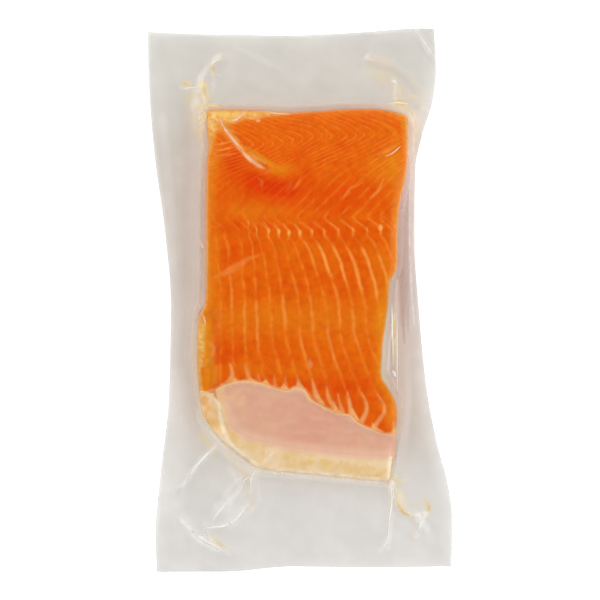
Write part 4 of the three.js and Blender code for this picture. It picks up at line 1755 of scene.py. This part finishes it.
# ---- The pouch -----------------------------------------------------------------------------------


@dataclass(frozen=True)
class Pouch:
    """One closed bag of film, drawn over the fillet and lying flat round it."""

    form: PackForm
    columns: int = 96
    rows: int = 176
    near_rings: tuple = (0.3, 0.65, 1.05, 1.5, 2, 2.6, 3.3, 4.1, 5.1, 6.4, 8)
    far_rings: int = 34
    near_share: float = 0.45
    ripples: int = 14
    ripple_height: float = 0.07
    foot_reach: float = 3.0
    warm_low: tuple = (-100, -60)
    warm_high: tuple = (70, 112)
    yellow_flecks: tuple = (
        Flecks(26, (-53, 97), (2.4, 9), 0.9, 21), Flecks(9, (-52, 112), (3.4, 7), 0.7, 22),
        Flecks(6, (-61, 116.4), (4, 2), 0.6, 23), Flecks(10, (53, 104.6), (8, 4), 0.6, 24),
        Flecks(10, (56, -108), (7, 12), 0.55, 25), Flecks(8, (67, -112), (4, 8), 0.5, 26),
    )
    # White flecks: painted highlights on the crumpled film in the corners.
    highlight_flecks: tuple = (
        Flecks(14, (-53, 98), (3, 8), 0.6, 31), Flecks(8, (-38, -108), (9, 9), 0.35, 32),
        Flecks(8, (-52, -128), (7, 5), 0.4, 33), Flecks(8, (65, -118), (4, 6), 0.45, 34),
        Flecks(6, (-48, 122), (4, 8), 0.3, 35),
    )
    # Rose strokes: painted shade beside the fish's sides, tinted with the salmon colour that the film reflects.
    painted_rose_shade: Strokes = (
        (1, (58, 78, 1), (57.4, 60, 2.4), (57.2, 40, 2.8), (57.6, 20, 2.6), (58.2, -4, 1.4),
         (58.8, -18, 0.4)),
        (0.95, (55.2, 68, 1.6), (54.8, 40, 2.8), (55, 16, 2.8), (55.6, -8, 1.6), (56.4, -24, 0.5)),
        (0.5, (-52.8, 66, 0.6), (-53, 40, 0.9), (-53.2, 14, 0.8), (-54, -2, 0.6)),
        (0.22, (60, 26, 3), (60.4, 0, 3.8), (60.8, -26, 3)),
    )
    # Pale marks in the film, among them the seal lines along its left side. Along the fish's lower edge and in
    # the hollow of its cut side they are painted light that lifts the shade there.
    pale_film_and_painted_light: Strokes = (
        (0.22, (-66, -40, 4), (-67, -64, 7), (-68, -90, 8), (-70, -112, 5)),
        (0.2, (-74.8, -60, 1.4), (-76, -90, 2.2), (-78, -125, 1.8)),
        (0.12, (-74, 100, 2), (-70.6, 60, 2.6), (-68.4, 20, 1.8)),
        (0.1, (-33.6, 136.6, 1.2), (-22, 131, 2), (-9.2, 124.6, 1.2)),
        (0.25, (-44, -112, 3.4), (-38, -113.5, 4.4), (-33, -113, 3)),
        (0.12, (-57, 110, 2.4), (-55.6, 102, 2.8), (-56.6, 92, 1.8)),
        (0.25, (-55.4, -60, 1), (-52.6, -68.2, 1.6), (-46.2, -76.8, 1.8), (-34.2, -87.6, 1.8),
         (-22, -94, 1.5), (9, -97, 1.3), (46, -100.4, 1.1)),
        (0.4, (47.6, -8, 1.6), (46.2, -24, 2.6), (47.6, -38, 2)),
        (0.06, (-10, 128, 3), (-2, 120, 4), (8, 128, 3)),
    )
    yellow: Strokes = (
        (0.3, (-58, 112, 6), (-55, 103, 7), (-54, 94, 4.5), (-53.4, 84, 2)),
        (1, (-53.6, 105, 1.4), (-51.6, 100.6, 2.4), (-52.4, 95, 1.8), (-52.6, 89, 1)),
        (0.8, (-55.6, 96.6, 0.7), (-52.4, 98.2, 1.2), (-49.6, 97.4, 0.7)),
        (0.7, (-55, 90.6, 0.6), (-52.6, 92.6, 1.1), (-50.2, 91.6, 0.6)),
        (0.85, (-53.4, 118.8, 1.6), (-52.2, 113.8, 2.6), (-51.6, 107.6, 2), (-50.2, 103.6, 1.6)),
        (0.9, (-50.8, 104.4, 1.2), (-46.6, 105, 1.8), (-42.6, 104, 1)),
        (0.75, (-63.8, 117, 0.9), (-61.6, 117.6, 1.6), (-59.4, 116, 1)),
        (0.45, (-49.8, 127.4, 0.8), (-47.4, 126, 1.8), (-46.6, 122.6, 1.2)),
        (0.35, (-47.4, 129.8, 0.8), (-44.4, 130.8, 1.4), (-41.8, 129.8, 0.8)),
        (0.22, (38, 124, 4.5), (44, 122, 6), (50, 117, 5), (55, 110, 5)),
        (0.45, (56, 104, 3), (61, 98, 3.6), (62.4, 90, 2.6), (61, 80, 1.4)),
        (0.8, (47.4, 105.3, 0.6), (53, 105.8, 0.9), (58.2, 105, 0.6)),
        (0.6, (48.8, 108, 0.5), (53.6, 108.2, 0.7), (58, 107.4, 0.5)),
        (0.5, (54.2, 118, 0.8), (53.8, 112, 1.6), (55.4, 106, 1.4)),
        (0.45, (58.6, 111, 0.9), (61.4, 110, 1.6), (64, 109, 0.9)),
        (0.6, (49.4, -95, 0.8), (51.4, -97, 1.5), (56, -97.8, 0.9)),
        (0.35, (50, -98, 2.6), (54, -103, 3), (56, -110, 2.6)),
        (0.5, (51.8, -103, 1.2), (53.8, -110.6, 2.4), (57.4, -115.4, 2.2), (62.6, -117.4, 1.4)),
        (0.4, (66.8, -107, 1.2), (69.4, -111.6, 2), (68.8, -117, 1.4)),
        (0.3, (-47.6, -128.5, 2.2), (-44, -131.5, 2.4), (-40.4, -134, 1.4)),
        (0.45, (50.8, -8, 0.8), (51.2, -20, 1.2), (51.2, -33, 0.9)),
        (0.45, (-53.6, -73, 2), (-49.5, -78, 2.4), (-46, -81.5, 1.6)),
        (0.3, (-38.6, -84, 2), (-33, -90.5, 2.6), (-28, -96.5, 2.2)),
    )
    orange: Strokes = (
        (0.3, (36.9, 130.6, 2.2), (43.4, 131, 2.6), (50, 126.4, 1.9), (55.8, 123.2, 1.6),
         (60.8, 118.2, 1.5), (64.6, 112, 1.2)),
        (0.45, (47.4, 122.6, 0.9), (49.4, 119.8, 1.5), (51, 117, 1)),
        (0.25, (66.4, 116, 1.6), (66.8, 108, 2.2), (65, 97, 1.8)),
        (0.22, (-60.6, 108, 3), (-58, 98, 4), (-57, 86, 2.5)),
        (0.3, (-27, -95, 2.2), (-29.5, -101, 2.6), (-30, -106, 1.6)),
        (0.4, (-25.2, -103.6, 0.9), (-25.8, -109.6, 1.4), (-28.4, -113.4, 1)),
        (0.3, (61.6, -123, 1.2), (61, -129.4, 1.4)),
        (0.35, (48.4, -99, 1.2), (49, -110, 1.5), (48.2, -122, 1.1)),
    )
    # White strokes: painted highlights along the film's folds and creases, and along the fish's lower edge.
    painted_highlight: Strokes = (
        (0.5, (-46.1, -79.6, 1.1), (-54.2, -87.6, 1.6), (-64.2, -102, 0.9)),
        (0.3, (-47.6, 124, 0.8), (-47, 118, 1.2), (-47.6, 112, 0.8)),
        (0.5, (-65, 115, 0.6), (-61, 114.2, 0.9), (-56.6, 114.4, 0.6)),
        (0.35, (51.6, 116, 1), (51.4, 109, 1.4), (51.2, 106, 0.8)),
        (0.5, (49.2, 120, 0.5), (51.6, 118.4, 1), (52.8, 116.4, 0.5)),
        (0.35, (60.2, 74, 0.4), (59.4, 56, 0.6), (59.3, 34, 0.7), (60.2, 8, 0.6), (62, -14, 0.5)),
        (0.4, (-33, -104, 0.9), (-36.6, -106.4, 1.5), (-42.2, -112.2, 1.6), (-47.6, -119.2, 0.9)),
        (0.35, (-23.5, -91.6, 0.8), (-26.6, -99.2, 1.4), (-26.2, -105.7, 1.2)),
        (0.45, (-28.2, -110, 0.9), (-32.5, -116.5, 1.6), (-39, -121.8, 1.5), (-49, -123.2, 1.2),
         (-56.9, -124, 0.7)),
        (0.55, (-65, -118.2, 0.9), (-60.7, -123.6, 1.6), (-55.3, -129, 1.6), (-48.8, -133.3, 1.6),
         (-38, -137.1, 0.9)),
        (0.4, (-53, -123.6, 0.8), (-52, -128, 1.3), (-50.6, -131.6, 0.7)),
        (0.35, (-50, -124, 0.6), (-49, -128, 1), (-47, -132.6, 0.6)),
        (0.3, (-38, -92, 1.6), (-33.6, -96, 2.2), (-33, -101, 1.4)),
        (0.5, (49.4, -97.5, 1.4), (50.6, -100.5, 1.2)),
        (0.35, (48.6, -99, 1), (49.4, -108, 1.4), (48, -122, 1.1)),
        (0.8, (62.6, -116, 0.8), (66, -116.6, 1.7), (69.2, -115.2, 0.9)),
        (0.6, (67.4, -117.6, 1.1), (65, -123.4, 1.5), (62.6, -128.6, 0.8)),
        (0.5, (47.4, -127.6, 0.6), (46.2, -133, 1.1), (43.4, -135.6, 0.8)),
        (0.3, (62.9, 145.3, 0.7), (67.8, 138.8, 1), (72.1, 132.8, 0.7)),
        (0.25, (65, 141, 0.6), (69.4, 134, 0.9), (72.4, 129.6, 0.6)),
        (0.7, (-32, -86.4, 0.6), (-21.4, -92.2, 1), (-6, -94.3, 1), (9, -95.7, 1), (28, -97.6, 1),
         (46.4, -99.2, 0.8)),
        (0.45, (-50.4, -68.6, 0.6), (-43.4, -76.6, 1.1), (-31.6, -86.2, 1.1)),
    )

    def ripple(self, x: Array, y: Array) -> Array:
        """Faint unevenness of the loose film, from waves of random directions.

        Args:
            x: Places across.
            y: Places along.

        Returns:
            Heights round 0.
        """
        draw = np.random.default_rng(SEED)
        total = np.zeros(x.shape)
        for _ in range(self.ripples):
            heading, turn = draw.uniform(0, 2 * math.pi, 2)
            pitch = draw.uniform(9, 30)
            total += np.sin(2 * math.pi * (x * math.cos(heading) + y * math.sin(heading)) / pitch + turn)
        return total * self.ripple_height

    def ring_places(self, u: Array, v: Array, ring: int, block: Patch, rim: Patch) -> tuple:
        """Places of one ring of the margin.

        Args:
            u: Shares across, of points on the block's outline.
            v: Shares along.
            ring: The ring's number, counted outwards from 1.
            block: The patch inside the block's outline.
            rim: The patch inside the pouch's rim.

        Returns:
            The places across and along.
        """
        start = np.stack(block(u, v), axis=1)
        end = np.stack(rim(u, v), axis=1)
        length = np.hypot(*(end - start).T)
        near = np.minimum(1.0, self.near_share * length / self.near_rings[-1])
        if ring <= len(self.near_rings):
            away = self.near_rings[ring - 1] * near
        else:
            lead = self.near_rings[-1] * near
            away = lead + (length - lead) * (ring - len(self.near_rings)) / self.far_rings
        found = start + (end - start) * (away / length)[:, None]
        return found[:, 0], found[:, 1]

    def place(self, u: Array, v: Array, level: Array) -> Laid:
        """Lays the film: over the block, out to the rim on top, back again below, and under the block.

        Args:
            u: Shares across.
            v: Shares along.
            level: Levels from the top of the block to its underside.

        Returns:
            The places across, along and up.
        """
        x, y = np.zeros(len(u)), np.zeros(len(u))
        uu, vv = edged(u), edged(v, 0.03)
        block = outline_patch(self.form.block_outline(), self.form.block_corners)
        rim = self.form.rim_patch()
        rings = len(self.near_rings) + self.far_rings
        for each in range(2 * rings + 2):
            on = level == each
            ring = min(each, 2 * rings + 1 - each)
            if ring == 0:
                x[on], y[on] = block(uu[on], vv[on])
            else:
                x[on], y[on] = self.ring_places(uu[on], vv[on], ring, block, rim)
        lower, upper = self.form.film(x, y)
        outside = -self.form.inside(x, y)
        lift = self.ripple(x, y) * smoothstep(outside, 2, 12)
        return x, y, np.maximum(np.where(level <= rings, upper, lower) + lift, 0.0)

    def build(self, finish: FilmFinish, fish_side: Array) -> None:
        """Builds and dresses the pouch.

        Args:
            finish: The film's finish.
            fish_side: The outline of the fish that it clings to.
        """
        levels = 2 * (len(self.near_rings) + self.far_rings) + 1
        piece, level = Body("pouch", self.columns, self.rows, levels).grow(self.place)
        x, y, z = places(piece)
        outside = -self.form.inside(x, y)
        # Warm tan near the fish, stronger on its right side: partly juice stain, partly painted salmon colour
        # reflected in the film.
        beside = smoothstep(y, *self.warm_low) * (1 - smoothstep(y, *self.warm_high))
        warm = beside * (0.35 + 0.65 * np.exp(-np.maximum(outside, 0) / 9))
        right = smoothstep(x, 30, 60) * 0.6 * beside * smoothstep(y, -50, 0)
        over = inside_distance(x, y, fish_side)
        below = level > levels // 2
        flecks = {"yellow": scattered(self.yellow_flecks), "painted_highlight": scattered(self.highlight_flecks)}
        names = ("painted_rose_shade", "pale_film_and_painted_light", "yellow", "orange", "painted_highlight")
        marks = {name: painted(x, y, getattr(self, name) + flecks.get(name, ())) for name in names}
        rim = self.form.rim_patch()
        edges = np.vstack([rim.edges[0][0], rim.edges[1][0], rim.edges[2][0][::-1], rim.edges[3][0][::-1]])
        to_rim = inside_distance(x, y, edges)
        write_fields(
            piece,
            over=over,
            lifted=np.where(below, 0, z - self.form.film(x, y)[0]),
            # Painted light on the lower ply at the fish's foot, lifting the shade there.
            foot=0.9 * np.exp(-((np.maximum(-over, 0) / self.foot_reach) ** 2)) * below,
            warm=np.clip(warm + right + 0.25 * np.exp(-np.maximum(outside, 0) / 5), 0, 1),
            low=0.8 * smoothstep(-y, 60, 135),
            **marks,
            edge=0.2 * (1 - smoothstep(to_rim, 2.0, 9.0)) + 0.35 * (1 - smoothstep(to_rim, 0.3, 1.6)),
        )
        settle(piece, Slot.FILM, finish.material())


# ---- Creases and juice ---------------------------------------------------------------------------


@dataclass(frozen=True)
class Creases:
    """Places where the film is pinched double, as raised strands that are pale partly as painted highlight, and
    painted highlights on creases over the flesh.
    """

    form: PackForm
    on_margin: tuple = (
        Strand(((-46.1, -79.6, 0.4), (-54.2, -87.6, 0.75), (-59.5, -94.5, 0.7), (-64.2, -102, 0.35))),
        Strand(((-34.6, -104.6, 0.3), (-38, -107.6, 0.6), (-43, -113.4, 0.6), (-47.6, -119.6, 0.3)), 0.2),
        Strand(((-28.6, -110.6, 0.3), (-33, -116.8, 0.6), (-39.4, -121.8, 0.6), (-49, -123.4, 0.45),
         (-56, -124, 0.2)), 0.2, steps=40),
        Strand(((-23.5, -90.6, 0.3), (-26.6, -97.2, 0.5), (-26.4, -103.7, 0.3)), 0.2),
        Strand(((-27, -95.4, 0.2), (-30.4, -98, 0.35), (-31.4, -103, 0.2))),
        Strand(((-64.6, -120.2, 0.3), (-59.6, -124.7, 0.6), (-51.5, -130.1, 0.75), (-45.2, -133.7, 0.6),
         (-38.9, -137.3, 0.3))),
        Strand(((-60.4, -123.4, 0.2), (-55, -127.4, 0.35), (-50.6, -128.4, 0.25))),
        Strand(((-52.5, -123.6, 0.25), (-51.6, -127, 0.35), (-50.2, -130.4, 0.25))),
        Strand(((-50.4, -124.4, 0.2), (-49.6, -127.4, 0.3), (-47.6, -131.6, 0.2))),
        Strand(((48.8, -99, 0.3), (49.8, -108.4, 0.4), (48.4, -119.2, 0.3), (47.6, -129, 0.3),
         (45, -134.4, 0.45))),
        Strand(((50.2, -101.4, 0.2), (51, -107, 0.35), (53.4, -109.6, 0.2))),
        Strand(((62.7, -117.6, 0.3), (66, -117, 0.9), (68.2, -116.6, 0.4))),
        Strand(((67, -117.4, 0.4), (65, -122, 0.8), (63, -126.4, 0.3))),
        Strand(((57.4, -113, 0.25), (60, -116.6, 0.45), (62.6, -118.2, 0.25))),
        Strand(((62.9, 145.3, 0.2), (67.8, 138.8, 0.3), (72.1, 132.8, 0.2)), 0.2),
        Strand(((-52, 114.2, 0.2), (-58, 114.8, 0.35), (-63.6, 114.2, 0.2))),
        Strand(((-48.4, 126.4, 0.2), (-46.2, 129.2, 0.45), (-42.4, 130.4, 0.2))),
        Strand(((49.2, 118.6, 0.4), (51.4, 118, 0.8), (52.6, 116.4, 0.3))),
        Strand(((47.4, 106.2, 0.2), (53.1, 106.6, 0.4), (58.5, 106, 0.2))),
        Strand(((49.4, -1, 0.25), (49.8, -18, 0.4), (50.2, -34, 0.45), (50.6, -36.6, 0.3))),
        Strand(((49.6, -37.6, 0.5), (50.6, -39.4, 0.9), (51.8, -41.6, 0.5)), 0.35),
        Strand(((52.2, -6, 0.15), (52.4, -26, 0.3), (52.6, -48, 0.15)), 0.2),
    )
    # Small raised strands over the flesh, their pale pink colour a painted highlight on the film's creases
    # there.
    on_fish: tuple = (
        Strand(((-43, 98, 0.5), (-41, 93, 0.65), (-36.3, 86.7, 0.7), (-31.6, 80.8, 0.6)), 0.16),
        Strand(((-31.4, 80.2, 0.5), (-27.6, 76, 0.8), (-23.6, 73, 0.8), (-19.9, 70.8, 0.4)), 0.16),
        Strand(((45.5, 77, 0.2), (49.3, 78.6, 0.5), (52.6, 81.3, 0.4), (54.2, 82.9, 0.2)), 0.2),
        Strand(((-37.6, 96.2, 0.2), (-34.3, 96.9, 0.6), (-29.8, 100.6, 0.3)), 0.2),
        Strand(((-19, 102, 0.2), (-14.5, 100.5, 0.5), (-5.4, 99.9, 0.25)), 0.2),
        Strand(((-54, 32.5, 0.2), (-53, 29.5, 0.4), (-52, 27.1, 0.2)), 0.2),
        Strand(((-52.4, -6.5, 0.2), (-51.6, -10, 0.5), (-50.6, -13.6, 0.3)), 0.2),
    )

    def build(self, margin_finish: CreaseFinish, fish_finish: CreaseFinish) -> None:
        """Builds and dresses the creases.

        Args:
            margin_finish: The finish of the creases in the margin.
            fish_finish: The finish of those on the fish.
        """
        for strands, finish in ((self.on_margin, margin_finish), (self.on_fish, fish_finish)):
            bodies = [strand.build(finish.name, self.form.shown_film) for strand in strands]
            settle(joined(bodies, finish.name), Slot.FILM, finish.material())


@dataclass(frozen=True)
class Juice:
    """Thin juice that swells the film's folds and corners round the fillet."""

    form: PackForm
    pools: tuple = (
        Strand(((-52.6, 102.4, 0.5), (-51, 99.4, 1.1), (-51.6, 96, 0.5)), 0.12),
        Strand(((-53, 117.4, 0.5), (-52, 113.6, 1.1), (-51.6, 110.4, 0.5)), 0.1),
        Strand(((-49.4, 104.4, 0.3), (-46.6, 105, 0.7), (-44.4, 104.2, 0.3)), 0.12),
        Strand(((-63.4, 116.8, 0.4), (-61.6, 117.4, 0.8), (-60.2, 116.2, 0.4)), 0.1),
        Strand(((-48.6, 126.4, 0.4), (-47, 125.2, 0.9), (-46.6, 123.4, 0.4)), 0.1),
        Strand(((47.8, 105.2, 0.3), (53, 105.7, 0.5), (58.2, 105, 0.3)), 0.12),
        Strand(((49.6, 108, 0.2), (53.4, 108.2, 0.4), (57.4, 107.5, 0.2)), 0.12),
        Strand(((53, -109, 0.4), (54.4, -112.6, 0.9), (57, -115.8, 0.8), (60.4, -117.2, 0.4)), 0.1),
        Strand(((69.4, -109, 0.4), (69.9, -112.6, 0.8), (69.2, -115.6, 0.4)), 0.1),
        Strand(((-45.4, -130.6, 0.4), (-43, -132.4, 0.8), (-40.6, -134.2, 0.4)), 0.1),
        Strand(((50.9, -6, 0.3), (51.2, -20, 0.55), (51.2, -33, 0.35)), 0.12),
        Strand(((49.6, -95.6, 0.4), (51.6, -97.2, 0.8), (54, -97.8, 0.3)), 0.12),
    )

    def build(self, finish: JuiceFinish) -> None:
        """Builds and dresses the juice.

        Args:
            finish: Its finish.
        """
        bodies = [pool.build("juice", self.form.shown_film) for pool in self.pools]
        settle(joined(bodies, "juice"), Slot.JUICE, finish.material())


# ---- Studio --------------------------------------------------------------------------------------


@dataclass(frozen=True)
class SoftBox:
    """A soft square lamp."""

    name: str
    place: tuple
    size: float
    power: float


@dataclass(frozen=True)
class Studio:
    """A pale floor, soft light and a camera straight above."""

    view_width: float = 325.2
    camera_height: float = 3.0
    sensor: float = 36.0
    floor_half: float = 6.0
    floor_drop: float = 0.0002
    floor_glow: float = 0.4
    wall: float = 0.85
    ceiling: float = 0.0
    ceiling_edge: tuple = (0.72, 0.94)
    lamps: tuple = (
        SoftBox("key", (-0.75, 0.85, 0.95), 0.7, 10.0),
        SoftBox("fill", (0.95, -0.35, 0.8), 0.8, 7.0),
    )

    def build(self) -> None:
        """Builds the floor, the lights and the camera."""
        self.build_floor()
        self.build_walls()
        for lamp in self.lamps:
            self.build_lamp(lamp)
        self.build_camera()
        scene = bpy.context.scene
        scene.view_settings.view_transform = "Standard"
        log.info("studio: %d lamps", len(self.lamps))

    def build_floor(self) -> None:
        """Builds the floor that the pack lies on."""
        bpy.ops.object.select_all(action="DESELECT")
        bpy.ops.mesh.primitive_grid_add(
            x_subdivisions=8, y_subdivisions=8, size=2 * self.floor_half, location=(0, 0, -self.floor_drop)
        )
        floor = bpy.context.object
        floor.name = "studio_floor"
        bpy.ops.object.transform_apply(location=True, rotation=True, scale=True)
        desk = NodeDesk(
            "studio_floor", Roughness=0.9, Specular_IOR_Level=0.0, Emission_Strength=self.floor_glow
        )
        desk.shader.inputs["Emission Color"].default_value = (1, 1, 1, 1)
        colour = desk.blend(desk.noise(3.0, 2), (0.93, 0.93, 0.93, 1), (0.95, 0.95, 0.95, 1))
        floor.data.materials.append(desk.finish(colour))

    def build_walls(self) -> None:
        """Builds the surroundings: bright walls and a dark ceiling, which flat gloss would mirror."""
        world = bpy.data.worlds.new("studio")
        world.use_nodes = True
        bpy.context.scene.world = world
        tree = world.node_tree
        background = tree.nodes["Background"]
        coordinates = tree.nodes.new("ShaderNodeTexCoord")
        split = tree.nodes.new("ShaderNodeSeparateXYZ")
        step = tree.nodes.new("ShaderNodeMapRange")
        step.interpolation_type = "SMOOTHSTEP"
        numbers = (*self.ceiling_edge, self.wall, self.ceiling)
        for name, number in zip(("From Min", "From Max", "To Min", "To Max"), numbers):
            step.inputs[name].default_value = number
        tree.links.new(coordinates.outputs["Generated"], split.inputs[0])
        tree.links.new(split.outputs["Z"], step.inputs["Value"])
        tree.links.new(step.outputs["Result"], background.inputs["Strength"])
        background.inputs["Color"].default_value = (1, 1, 1, 1)

    @staticmethod
    def build_lamp(lamp: SoftBox) -> None:
        """Hangs one lamp, turned to the pack.

        Args:
            lamp: The lamp.
        """
        data = bpy.data.lights.new(lamp.name, "AREA")
        data.size = lamp.size
        data.energy = lamp.power
        made = bpy.data.objects.new(lamp.name, data)
        made.location = lamp.place
        made.rotation_euler = (-Vector(lamp.place)).to_track_quat("-Z", "Y").to_euler()
        bpy.context.scene.collection.objects.link(made)

    def build_camera(self) -> None:
        """Hangs the camera with a long lens, so that the whole view is seen straight from above."""
        data = bpy.data.cameras.new("camera")
        data.sensor_width = self.sensor
        data.lens = self.sensor * self.camera_height / (self.view_width * MM)
        data.clip_end = 50
        camera = bpy.data.objects.new("camera", data)
        camera.location = (0, 0, self.camera_height)
        bpy.context.scene.collection.objects.link(camera)
        bpy.context.scene.camera = camera


def corners(bounds: Sequence[Sequence[float]]) -> list[list[float]]:
    """A box's corners as plain lists."""
    return [[float(number) for number in corner] for corner in bounds]


def main() -> None:
    """Builds the pack in its studio."""
    logging.basicConfig(level=logging.INFO, format="%(name)s: %(message)s")
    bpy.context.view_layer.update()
    form = PackForm()
    fillet = Fillet(form)
    fillet.build_flesh(FleshFinish())
    fillet.build_lining(LiningFinish())
    fillet.build_fat(FatFinish())
    Pouch(form).build(FilmFinish(), fillet.side())
    # The fish creases' pale pinks are painted highlights.
    Creases(form).build(CreaseFinish(), CreaseFinish("fish_creases", (252, 214, 180), (248, 186, 134), 0.55))
    Juice(form).build(JuiceFinish())
    Studio().build()


if __name__ == "__main__":
    main()
